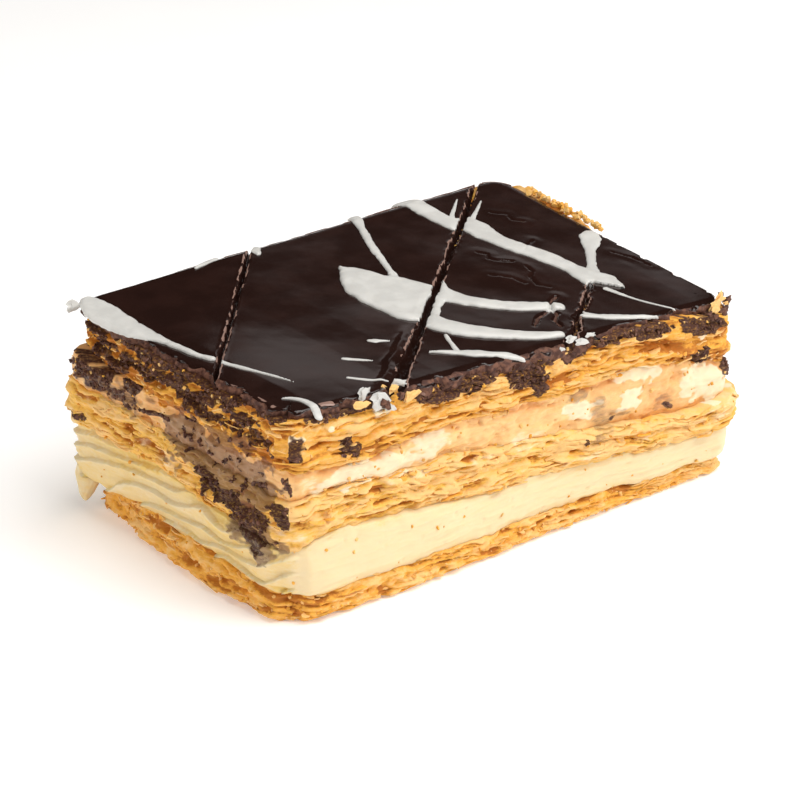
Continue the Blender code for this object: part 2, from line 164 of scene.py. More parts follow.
# Thin cracks in the glaze: depth, then places
CRACKS = (
    (0.9, ((25.4, -17.9), (22.6, -19.2), (20.2, -21.8), (17.5, -23.1), (14.8, -24.0), (11.2, -26.9))),
    (0.9, ((20.2, -21.8), (19.4, -24.6), (16.8, -26.8), (15.8, -29.6))),
    (0.35, ((26.1, 7.5), (27.4, 5.2), (26.0, 3.4), (26.9, 1.6), (29.4, -0.4))),
    (0.4, ((30.2, -3.6), (29.6, -6.4), (27.2, -8.2), (26.0, -11.9), (27.6, -14.0))),
    (0.3, ((35.0, 2.0), (38.2, 4.4), (41.0, 6.0))),
    (0.25, ((20.4, -3.0), (23.4, -6.2), (24.2, -10.0))),
    (0.3, ((43.0, 22.0), (45.4, 19.4), (44.6, 16.4), (46.4, 14.6))),
    (0.25, ((52.0, -7.0), (54.0, -11.0), (54.6, -16.0))),
)

# Icing: crown height, then stations of x, y and width
STROKES = (
    (0.6, ((-54.0, 34.2, 2.4), (-54.4, 31.6, 4.8), (-54.8, 28.0, 6.6), (-55.4, 22.0, 6.4),
           (-55.2, 15.6, 5.2), (-54.4, 9.6, 2.9), (-53.9, 4.6, 1.8), (-53.4, -1.4, 1.5),
           (-52.2, -5.8, 1.4))),
    (0.35, ((-52.2, -6.2, 1.3), (-51.2, -9.6, 1.2), (-49.2, -15.5, 0.9), (-46.5, -23.5, 0.3))),
    (0.6, ((31.9, 38.0, 5.6), (31.6, 33.0, 5.0), (31.2, 27.0, 4.6), (31.2, 23.4, 4.8), (32.2, 20.2, 6.0))),
    (0.14, ((32.2, 22.4, 1.9), (35.0, 25.3, 1.1), (38.2, 28.2, 0.8), (41.4, 31.0, 0.4))),
    (0.14, ((35.6, 20.0, 1.9), (38.8, 22.4, 1.1), (42.2, 25.0, 0.8), (45.4, 27.6, 0.4))),
    (0.6, ((34.4, 20.0, 6.0), (34.4, 16.6, 6.6), (34.2, 10.0, 5.0), (35.8, 2.6, 5.2), (37.3, -3.2, 5.0),
           (38.0, -9.6, 4.6), (38.4, -13.8, 6.4), (38.8, -17.2, 8.0), (39.2, -19.4, 6.0),
           (39.6, -21.4, 2.6))),
    (0.2, ((37.2, -20.4, 1.4), (38.2, -24.6, 0.9), (39.8, -29.2, 0.6), (42.8, -34.6, 0.5))),
    (0.5, ((54.4, 2.2, 3.6), (53.0, 0.8, 4.9), (51.2, -1.0, 4.3), (48.6, -3.8, 2.6), (45.8, -7.0, 1.8),
           (42.6, -10.6, 2.4), (40.4, -13.2, 3.4))),
    (0.45, ((17.2, 37.6, 2.6), (16.0, 35.0, 2.2), (13.8, 30.6, 1.8), (9.8, 22.5, 1.7), (6.2, 13.8, 1.6),
            (2.6, 5.4, 1.8))),
    (0.8, ((-3.6, 16.2, 0.8), (-3.2, 14.4, 3.2), (-3.1, 12.2, 6.0), (-3.6, 8.8, 9.4), (-3.8, 4.8, 12.4),
           (-2.6, 1.0, 15.4), (-1.6, -3.0, 17.2), (-1.6, -6.8, 17.0))),
    (0.7, ((7.6, 0.6, 5.6), (5.6, -4.6, 6.0), (7.2, -9.8, 4.6), (10.2, -14.2, 4.1), (14.2, -17.9, 3.9),
           (19.0, -20.6, 3.7), (21.6, -22.2, 3.2))),
    (0.45, ((22.4, -25.2, 2.8), (24.2, -28.2, 2.3), (28.0, -31.2, 2.2), (32.4, -33.6, 1.6),
            (37.0, -35.4, 0.6))),
    (0.75, ((-5.6, -11.2, 6.6), (-5.2, -16.4, 5.8), (-3.6, -20.4, 5.6), (-0.6, -24.6, 4.9),
            (4.4, -28.6, 3.8), (9.4, -31.6, 2.7), (12.4, -32.9, 1.8))),
    (0.5, ((-3.6, -12.4, 3.0), (1.2, -9.0, 1.8), (5.2, -5.4, 3.0))),
    (0.45, ((-15.3, -25.7, 0.4), (-12.0, -28.0, 1.8), (-8.2, -31.0, 2.8), (-5.6, -33.0, 2.3),
            (-2.8, -34.8, 1.9), (-0.8, -36.6, 0.8))),
    (0.3, ((-7.3, -21.3, 0.9), (-8.8, -24.6, 0.8), (-10.2, -28.0, 1.2))),
    (0.22, ((-31.3, -19.1, 0.8), (-30.4, -19.8, 1.5), (-28.9, -21.2, 0.8), (-26.9, -22.9, 0.3))),
    (0.22, ((-21.5, -15.0, 0.9), (-20.7, -15.6, 1.5), (-19.5, -16.4, 0.8), (-18.2, -17.3, 0.3))),
    (0.2, ((-36.4, -27.0, 0.6), (-34.0, -29.4, 0.8), (-30.9, -32.4, 0.4))),
    (0.35, ((-53.0, -28.4, 0.3), (-51.6, -29.4, 1.0), (-50.4, -31.4, 1.3), (-50.3, -34.4, 1.6),
            (-51.2, -36.8, 1.4))),
    (0.4, ((-27.6, 33.5, 0.6), (-24.4, 34.6, 1.6), (-21.4, 35.6, 1.6))),
    (0.4, ((-12.9, 31.8, 1.4), (-12.3, 33.4, 2.4), (-11.6, 35.4, 2.6))),
)

# Chips on the rim: kind (0 icing, 1 pastry, 2 chocolate), place and full sizes along x, y and z
CHIPS = (
    (0, (-39.2, -34.8, 42.4), (2.4, 1.0, 2.2)), (0, (-36.0, -35.8, 40.9), (3.2, 1.8, 2.6)),
    (0, (-30.3, -34.8, 42.4), (2.9, 0.9, 1.4)), (0, (-34.0, -36.4, 39.2), (2.2, 1.4, 1.7)),
    (0, (12.2, -36.0, 40.7), (2.8, 1.1, 1.3)), (0, (14.8, -36.5, 39.8), (2.6, 1.2, 1.1)),
    (0, (17.6, -36.2, 40.4), (2.6, 1.0, 0.9)), (0, (9.8, -36.4, 39.5), (1.0, 0.8, 0.9)),
    (0, (-37.4, -33.6, 42.2), (1.2, 1.6, 0.8)), (0, (-57.6, 33.6, 44.7), (2.3, 1.6, 1.9)),
    (1, (53.4, -36.2, 38.1), (4.2, 1.5, 3.4)), (1, (-28.6, -36.4, 40.2), (2.9, 1.3, 2.0)),
    (1, (-32.7, -35.6, 42.0), (2.0, 1.0, 1.3)), (1, (-40.6, -36.2, 41.3), (2.6, 1.1, 1.2)),
    (1, (58.2, -34.6, 36.6), (1.6, 1.4, 1.3)), (2, (57.0, -35.6, 36.2), (2.0, 1.6, 1.6)),
    (2, (55.4, -36.4, 36.2), (1.8, 1.5, 1.7)), (2, (59.4, -33.8, 36.9), (1.7, 1.4, 1.3)),
    (2, (58.8, -32.4, 37.9), (1.4, 1.3, 1.0)), (2, (51.0, -36.8, 36.6), (1.6, 1.3, 1.3)),
    (2, (-35.4, -36.8, 40.2), (1.8, 1.4, 1.5)), (2, (-31.6, -36.6, 40.8), (1.6, 1.3, 1.3)),
    (1, (-24.6, 33.6, 44.9), (1.0, 0.8, 0.6)), (1, (-33.6, -33.8, 42.1), (1.1, 1.0, 0.8)),
    (1, (56.6, -35.0, 38.4), (1.1, 1.1, 0.8)),
)

# Marks on the cut sides: face, place along it, height, half length, half height, slope, strength
COCOA = (
    (0, -58, 43.4, 6, 2.0, 0.0, 1.0), (0, -42, 41.2, 9, 1.6, -0.04, 0.95),
    (0, -17.5, 38.6, 7.5, 2.4, -0.06, 1.0), (0, -24, 38.2, 4, 1.3, -0.2, 0.9),
    (0, 0.5, 36.6, 6, 3.0, 0.0, 1.0), (0, 4.5, 33.0, 2.6, 2.4, 0.0, 0.8),
    (0, 14.5, 38.4, 4.2, 1.9, 0.0, 0.95), (0, -8, 38.6, 5, 1.3, 0.0, 0.75),
    (0, 9, 38.0, 5, 0.9, 0.0, 0.6), (0, 24, 38.2, 7, 1.2, 0.0, 0.9), (0, 35, 37.4, 7, 1.5, -0.06, 1.0),
    (0, 47, 35.4, 6.0, 2.2, -0.2, 0.8), (0, 52, 34.4, 3.4, 2.6, 0.0, 0.72),
    (0, 48.2, 28.6, 3.0, 1.7, -0.1, 0.95), (0, 56, 38.0, 3, 1.3, -0.2, 0.8),
    (0, -43.6, 33.6, 1.7, 2.0, 0.0, 0.95), (0, -41.4, 32.0, 1.6, 1.7, 0.3, 0.85),
    (0, -55.4, 35.4, 2.0, 2.8, 0.4, 0.6), (0, -57.5, 28.6, 2.4, 2.6, -0.6, 0.75),
    (0, -60, 22.4, 2.6, 2.2, -0.7, 0.8), (0, 55.6, 23.6, 1.9, 2.0, -0.4, 0.75),
    (0, 24.8, 20.6, 1.3, 0.6, 0.0, 0.6), (0, 16.8, 17.6, 0.7, 0.9, -0.6, 0.8),
    (0, 40.0, 19.4, 1.7, 0.9, -0.5, 0.6), (3, -6, 42.4, 34, 2.2, 0.0, 1.0),
    (3, 0, 38.8, 27, 1.7, -0.02, 0.72), (3, 26, 39.6, 7, 2.4, 0.1, 0.62),
    (3, -12, 36.6, 9, 1.6, 0.05, 0.62), (3, 20, 36.6, 8, 1.5, 0.1, 0.6), (3, 29, 42.2, 6, 1.6, 0.0, 0.75),
    (3, 30, 33.2, 4.6, 2.4, 0.1, 0.7), (3, 24, 32.2, 6.2, 2.8, 0.05, 0.62),
    (3, 17, 30.2, 5, 2.0, 0.1, 0.55), (3, 14, 33.6, 3.4, 1.8, 0.0, 0.7), (3, -22, 38.6, 5, 1.8, 0.1, 0.7),
    (3, -27, 36.6, 5, 2.0, 0.3, 0.55), (3, -12, 22.4, 6.6, 2.2, 0.14, 0.65),
    (3, -19, 20.2, 5.6, 3.0, 0.16, 0.62), (3, -24.6, 16.4, 3.4, 2.4, 0.5, 0.7),
    (3, -28, 20.6, 3.0, 2.2, 0.2, 0.55), (3, 7, 30.2, 5, 0.7, -0.1, 0.8),
    (3, 31, 22.6, 5.4, 0.8, -0.14, 0.7), (3, 35, 10.4, 3.4, 0.9, 0.0, 0.45),
    (1, -16, 40.2, 17, 1.5, 0.1, 0.85), (1, -24, 36.4, 9, 2.8, 0.1, 0.7), (1, 22, 37.6, 6, 1.5, 0.0, 0.6),
    (1, -6, 27.4, 4, 1.6, 0.1, 0.5), (2, -20, 42.6, 34, 1.2, 0.0, 0.7), (2, 34, 43.2, 14, 1.6, 0.0, 0.8),
    (2, 10, 38.4, 7, 1.7, 0.0, 0.6), (2, -34, 36.8, 5, 1.8, 0.0, 0.6),
)
SMEAR = (
    (3, -5, 28.8, 8.6, 6.4, 0.0, 1.0), (3, -15, 27.4, 10.0, 7.4, 0.05, 1.0),
    (3, -23, 24.4, 8.4, 8.6, 0.1, 1.0), (3, -27.5, 17.2, 5.0, 4.4, 0.1, 1.0),
    (3, 20, 31.0, 13.0, 3.4, 0.05, 0.5), (0, 21.6, 22.0, 4.2, 5.0, -0.3, 0.42),
    (0, 15.6, 28.2, 3.6, 1.3, 0.06, 0.5), (0, 26.6, 21.4, 3.4, 1.3, -0.2, 0.45),
    (0, 38.6, 20.4, 3.0, 2.2, -0.2, 0.42), (0, 20.4, 17.4, 2.2, 1.6, 0.0, 0.45),
    (1, 8, 24.0, 9, 4.0, 0.1, 0.4), (2, -6, 27.0, 10, 3.0, 0.0, 0.4),
)
CREAMY = (
    (0, -36, 26.8, 15, 2.1, -0.03, 0.95), (0, -24, 28.4, 6, 2.2, 0.0, 0.6),
    (0, 15.8, 24.4, 4.4, 2.1, -0.1, 1.0), (0, 28.6, 24.0, 3.4, 2.4, 0.0, 0.9),
    (0, 50, 22.4, 7.6, 3.9, -0.2, 1.0), (0, 31.4, 28.6, 6.4, 2.0, -0.1, 0.75),
    (0, 2.4, 22.0, 8, 2.2, -0.1, 0.4), (0, -52, 28.4, 4, 2.6, 0.0, 0.4),
    (0, -34.6, 38.6, 2.0, 1.3, 0.0, 0.9), (0, 48.4, 32.6, 1.2, 1.0, 0.0, 0.8),
    (0, -55.0, 37.6, 1.6, 0.9, 0.0, 0.7), (0, -47.4, 38.0, 0.9, 0.6, 0.0, 0.7),
    (1, 12, 27.5, 11, 2.6, 0.1, 0.8), (1, -18, 23.0, 9, 2.6, 0.1, 0.8), (2, -30, 30.0, 12, 2.4, 0.0, 0.8),
    (2, 20, 28.0, 14, 2.6, 0.0, 0.8),
)
BAKED = (
    (0, -56, 5.4, 9, 0.9, -0.3, 1.0), (0, -46.5, 4.4, 5.0, 0.7, -0.12, 1.0),
    (0, -21.5, 3.2, 3.4, 0.6, -0.1, 0.8), (0, -15.6, 2.2, 2.0, 0.9, 0.1, 0.8),
    (0, -8, 1.4, 2.8, 0.5, -0.1, 0.9), (0, 27, 4.0, 3.6, 0.6, -0.2, 0.9),
    (0, 17, 2.2, 3.0, 0.5, -0.1, 0.5), (0, -21.5, 33.2, 6.5, 0.4, -0.1, 1.0),
    (0, -29, 32.0, 4.5, 0.8, -0.3, 0.9), (0, -36, 31.0, 6.6, 0.9, -0.15, 0.8),
    (0, 0, 29.3, 6.0, 0.8, -0.15, 1.0), (0, -6, 27.0, 3.4, 0.9, -0.5, 0.6),
    (0, 18.4, 29.0, 3.2, 0.7, -0.1, 0.9), (0, 24.5, 29.0, 4.6, 0.6, 0.16, 0.9),
    (0, 37.5, 32.8, 7.0, 1.2, -0.24, 1.0), (0, 22, 34.0, 6.0, 0.5, -0.14, 0.8),
    (0, -46, 21.8, 4.6, 0.7, -0.05, 0.75), (0, -40.4, 22.4, 1.7, 0.4, 0.1, 0.8),
    (0, -13.6, 22.0, 1.3, 0.3, -0.2, 0.9), (0, -22, 19.0, 2.6, 0.6, -0.2, 0.9),
    (0, -28, 17.4, 3.0, 0.6, -0.15, 0.7), (0, -18, 15.9, 3.0, 0.6, 0.0, 0.6),
    (0, -54, 15.9, 3.4, 0.5, -0.4, 0.5), (0, -5.6, 13.0, 3.4, 0.4, 0.15, 0.7),
    (0, 13.6, 14.4, 3.0, 0.6, 0.0, 0.5), (0, 35.4, 13.8, 5.0, 0.7, 0.0, 0.5),
    (0, 48, 12.2, 4, 0.6, -0.1, 0.5), (0, 57.6, 13.8, 2.0, 0.8, -0.4, 0.7),
    (0, 38, 25.4, 3.4, 1.4, -0.1, 0.6), (0, 38.4, 21.6, 3.0, 1.8, 0.0, 0.6),
    (0, -32, 26.0, 2.2, 0.4, -0.3, 0.3), (0, -56, 2.0, 6, 0.7, -0.2, 0.6),
    (3, 26, 18.0, 3, 0.4, 0.0, 0.4), (3, 36.4, 27.0, 3.0, 0.4, 0.9, 1.0), (3, 10, 18.4, 5, 0.9, 0.0, 0.7),
    (3, -8, 18.6, 6, 0.9, 0.0, 0.7), (3, 20, 6.0, 5, 1.4, 0.0, 0.8), (3, 8, 6.2, 4, 1.0, 0.0, 0.9),
    (3, -6, 4.0, 4, 1.3, 0.0, 0.7), (3, -16, 3.0, 4, 1.3, 0.0, 0.8), (3, -29, 5.6, 5, 0.7, 0.2, 1.0),
    (3, -31, 32.8, 4, 1.0, -0.1, 0.8), (3, 0, 33.6, 8, 0.8, 0.1, 0.7), (3, -33, 39.6, 5, 0.9, 0.1, 0.7),
)


def place(points):
    """Slice places in mm turned into the part's metres."""
    points = np.asarray(points, dtype=np.float64)
    return (points - (MIDDLE[0], MIDDLE[1], 0.0)) * MM


def lattice(seed, cells):
    """Repeatable random numbers from 0 to 1 for whole-number cells."""
    total = np.full(cells[0].shape, (seed * 668265263 + 374761393) % 2**32, dtype=np.uint64)
    for cell, prime in zip(cells, (2654435761, 2246822519, 3266489917)):
        total = total + cell.astype(np.int64).astype(np.uint64) * np.uint64(prime)
        total = (total ^ (total >> np.uint64(15))) * np.uint64(2246822507)
    total = total ^ (total >> np.uint64(13))
    return (total & np.uint64(0xFFFFFF)).astype(np.float64) / 0xFFFFFF


def noise(seed, *where):
    """Smooth random swell from -1 to 1 in one, two or three directions."""
    where = np.broadcast_arrays(*[np.asarray(item, dtype=np.float64) for item in where])
    base = [np.floor(item) for item in where]
    ease = [(item - low) ** 2 * (3.0 - 2.0 * (item - low)) for item, low in zip(where, base)]
    total = np.zeros(where[0].shape)
    for corner in range(2 ** len(where)):
        share = np.ones(where[0].shape)
        cells = []
        for i, item in enumerate(ease):
            step = corner >> i & 1
            share = share * (item if step else 1.0 - item)
            cells.append(base[i] + step)
        total += share * lattice(seed, cells)
    return total * 2.0 - 1.0


def ramp(values, low, high):
    """Eased step from 0 at low to 1 at high."""
    f = np.clip((np.asarray(values, dtype=np.float64) - low) / (high - low), 0.0, 1.0)
    return f * f * (3.0 - 2.0 * f)


def meeting(k, x, y):
    """Height in mm of the meeting surface k."""
    front, at_d, at_c = MEETINGS[k]
    u = np.clip((x + HALF_X) / (2.0 * HALF_X), 0.0, 1.0)
    v = (y + HALF_Y) / (2.0 * HALF_Y)
    near = np.interp(x, FRONT_X, front)
    far = at_d + (at_c - at_d) * u
    return near + (far - near) * v


def waver(k, x, y):
    """Uneven rise and fall of the line where two layers meet on a cut side."""
    if k == 0:
        return np.zeros(np.shape(x))
    return 0.55 * noise(900 + k, x / 6.5, y / 6.5) + 0.35 * noise(910 + k, x / 1.9, y / 1.9)


def edge_ring(count):
    """Places round the slice: x, y, outward x, outward y and place from 0 to 8."""
    straight_x = 2.0 * (HALF_X - CORNER)
    straight_y = 2.0 * (HALF_Y - CORNER)
    arc = math.pi * CORNER / 2.0
    total = 2.0 * (straight_x + straight_y) + 4.0 * arc
    sides = (
        (straight_x, (-HALF_X + CORNER, -HALF_Y), (1.0, 0.0), (HALF_X - CORNER, -HALF_Y + CORNER), -90.0),
        (straight_y, (HALF_X, -HALF_Y + CORNER), (0.0, 1.0), (HALF_X - CORNER, HALF_Y - CORNER), 0.0),
        (straight_x, (HALF_X - CORNER, HALF_Y), (-1.0, 0.0), (-HALF_X + CORNER, HALF_Y - CORNER), 90.0),
        (straight_y, (-HALF_X, HALF_Y - CORNER), (0.0, -1.0), (-HALF_X + CORNER, -HALF_Y + CORNER), 180.0),
    )
    result = []
    for i in range(count):
        s = (i + 0.5) / count * total
        for side, (length, start, way, middle, turn) in enumerate(sides):
            if s <= length:
                spot = side * 2.0 + 0.5 + s / length + 0.5 * (s / length - 0.5)
                result.append((start[0] + way[0] * s, start[1] + way[1] * s, way[1], -way[0], spot % 8.0))
                break
            s -= length
            if s <= arc:
                angle = math.radians(turn + 90.0 * s / arc)
                nx = math.cos(angle)
                ny = math.sin(angle)
                spot = side * 2.0 + 1.75 + 0.5 * (s / arc)
                result.append((middle[0] + CORNER * nx, middle[1] + CORNER * ny, nx, ny, spot % 8.0))
                break
            s -= arc
    return np.array(result)


def round_values(values, spot):
    """Smooth reading of eight values set round the slice."""
    values = np.asarray(values, dtype=np.float64)
    low = np.floor(spot).astype(int) % 8
    f = spot - np.floor(spot)
    f = f * f * (3.0 - 2.0 * f)
    return values[low] + (values[(low + 1) % 8] - values[low]) * f


def face_of(nx, ny):
    """Which side an outward direction belongs to: 0 front, 1 right, 2 back, 3 left."""
    return np.where(np.abs(ny) >= np.abs(nx), np.where(ny < 0.0, 0, 2), np.where(nx > 0.0, 1, 3))


def marked(marks, x, y, z, nx, ny, ragged, soft=0.0):
    """How strongly a list of marks covers each place, with ragged outlines."""
    side = face_of(nx, ny)
    total = np.zeros(len(x))
    ways = []
    for face in range(4):
        length = (HALF_X, HALF_Y)[face % 2]
        own, other, beyond = (x, y, HALF_Y) if face % 2 == 0 else (y, x, HALF_X)
        depth = beyond - other * (-1.0, 1.0, 1.0, -1.0)[face]
        turned = np.where(own > 0.0, length + depth, -length - depth)
        ways.append(np.where(side == face, own, np.where(side == (face + 2) % 4, 999.0, turned)))
    for face, along, height, half_length, half_height, slope, strength in marks:
        across = ways[face]
        da = (across - along) / half_length
        dz = (z - height - slope * (across - along)) / half_height
        away = np.hypot(da, dz) + ragged
        total = np.maximum(total, strength * ramp(-away, -1.2 - soft, -0.75 + soft))
    return total


def start_clean():
    """Object mode with nothing selected."""
    if bpy.context.object and bpy.context.object.mode != "OBJECT":
        bpy.ops.object.mode_set(mode="OBJECT")
    bpy.ops.object.select_all(action="DESELECT")


def selected_only(piece):
    """Only this piece selected and active."""
    start_clean()
    piece.select_set(True)
    bpy.context.view_layer.objects.active = piece


def read_places(piece):
    """Corner places of a mesh as rows of x, y and z."""
    flat = np.empty(len(piece.data.vertices) * 3)
    piece.data.vertices.foreach_get("co", flat)
    return flat.reshape(-1, 3)


def write_places(piece, places):
    """Corner places written back to a mesh."""
    piece.data.vertices.foreach_set("co", np.ascontiguousarray(places, dtype=np.float32).ravel())
    piece.data.update()


def write_mask(piece, name, values):
    """A named value for each corner of a mesh, which the materials read."""
    mask = piece.data.attributes.get(name) or piece.data.attributes.new(name, "FLOAT", "POINT")
    mask.data.foreach_set("value", np.ascontiguousarray(np.clip(values, 0.0, 1.0), dtype=np.float32))


def new_grid(name, columns, rows):
    """A flat grid, and where each of its corners stands from 0 to 1 both ways."""
    start_clean()
    bpy.ops.mesh.primitive_grid_add(x_subdivisions=columns, y_subdivisions=rows, size=2.0, location=(0, 0, 0))
    piece = bpy.context.object
    piece.name = name
    piece.data.name = name
    flat = read_places(piece)
    return piece, (flat[:, 0] + 1.0) / 2.0, (flat[:, 1] + 1.0) / 2.0


def merge_seam(piece):
    """Corners that lie on one place made one, and the faces turned outwards."""
    selected_only(piece)
    bpy.ops.object.mode_set(mode="EDIT")
    bpy.ops.mesh.select_all(action="SELECT")
    bpy.ops.mesh.remove_doubles(threshold=0.000002)
    bpy.ops.mesh.normals_make_consistent(inside=False)
    bpy.ops.object.mode_set(mode="OBJECT")
    bpy.ops.object.shade_smooth()


def finish_piece(piece, material, node=None):
    """Material and body given to a finished piece, and the part node it stands for hidden."""
    piece.data.materials.clear()
    piece.data.materials.append(material)
    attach(piece, "root")
    if node:
        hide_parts(node)


def leaf_relief(spec, x, y, z, level):
    """Baked leaves on a cut side: how far they stand out in mm, and how pale they are, with painted shade in
    hollows and gaps and painted highlights on leaves that stand out.
    """
    seed = spec["seed"]
    bend = 1.1 * noise(seed, x / 17, y / 17, z / 10) + 0.6 * noise(seed + 1, x / 5, y / 5, z / 3)
    leaf = level * spec["leaves"] + bend + 0.05 * x
    number = np.floor(leaf)
    across = leaf - number
    reach = 0.75 * noise(seed + 2, x / 7, y / 7, number * 5.3)
    reach = reach + 0.55 * noise(seed + 3, x / 2.3, y / 2.3, number * 3.7)
    split = ramp(noise(seed + 4, x / 4.5, y / 4.5, number * 2.9), -0.5, 0.35)
    lip = 1.0 - np.abs(2.0 * across - 1.0) ** 3
    hollow = ramp(noise(seed + 5, x / 3.6, y / 3.6, z / 0.9), 0.35, 0.75)
    grit = noise(seed + 6, x / 0.9, y / 0.9, z / 0.55)
    fine = noise(seed + 7, x / 3.0, y / 3.0, z / 0.35)
    out = spec["rough"] * reach - 0.7 * split * (1.0 - lip) - 1.0 * hollow + 0.32 * grit + 0.16 * fine
    # Painted light and shade: pale follows the relief, darker in hollows and gaps between leaves as painted
    # shade and lighter where leaves stand out as painted highlights; the last noise is the pastry's own
    # uneven tone
    pale = 0.6 + 0.22 * reach - 0.36 * split * (1.0 - lip) - 0.5 * hollow + 0.1 * grit + 0.1 * fine
    pale = pale + 0.26 * noise(seed + 8, x / 11, y / 11, z / 3)
    worn = 1.2 * spec["crush"]
    crush = ramp(noise(seed + 10, x / 8, y / 8, z / 3.4), 0.55 - worn, 1.0 - worn)
    loose = 0.55 * noise(seed + 11, x / 1.7, y / 1.7, z / 1.2)
    loose = loose + 0.35 * noise(seed + 12, x / 0.7, y / 0.7, z / 0.6)
    out = out * (1.0 - 0.8 * crush) + crush * loose
    pale = pale * (1.0 - 0.5 * crush) + 0.5 * crush * (0.62 + 0.7 * loose)
    return out, pale


def cream_relief(spec, x, y, z, level):
    """Cut cream: drag of the knife and soft lumps, in mm, and how pale it is, with painted highlights on
    lumps and painted shade in pits and on the custard's stepped left side.
    """
    seed = spec["seed"]
    rough = spec["rough"]
    sag = 0.5 * noise(seed, x / 12, y / 12, z / 8)
    drag = 0.2 * noise(seed + 1, x / 10, y / 10, z / 0.9) + 0.12 * noise(seed + 2, x / 4, y / 4, z / 0.4)
    lumps = 0.8 * noise(seed + 3, x / 3.2, y / 3.2, z / 2.3)
    lumps = lumps + 0.35 * noise(seed + 4, x / 1.2, y / 1.2, z / 0.9)
    pits = ramp(noise(seed + 5, x / 1.5, y / 1.5, z / 0.9), 0.55, 0.9)
    left = ramp(-x, 54.4, 57.2) * ramp(-rough, -0.8, -0.6)
    turn = (z + 0.16 * y) / 3.4 + 1.0 * noise(seed + 7, y / 9, z / 7, x / 30)
    step = (turn - np.floor(turn)) ** 1.6
    ridge = ramp(step, 0.72, 0.97) * (1.0 - ramp(step, 0.97, 1.0))
    soft = 0.5 + 0.5 * (1.0 - (2.0 * level - 1.0) ** 2)
    out = sag + drag + (rough - 0.4) * lumps - 0.5 * rough * pits + left * (1.1 * step - 0.4)
    # Painted shade: the custard's left side is darker, with paler ridges on its knife steps
    pale = left * (0.5 * ridge - 0.25) + 0.62 * soft + 0.25
    # Painted light and shade: lumps that stand out are lighter and pits are darker
    pale = pale + 0.2 * noise(seed + 6, x / 9, y / 9, z / 1.6) + 0.25 * (rough - 0.4) * lumps
    return out, pale - 0.3 * pits * rough


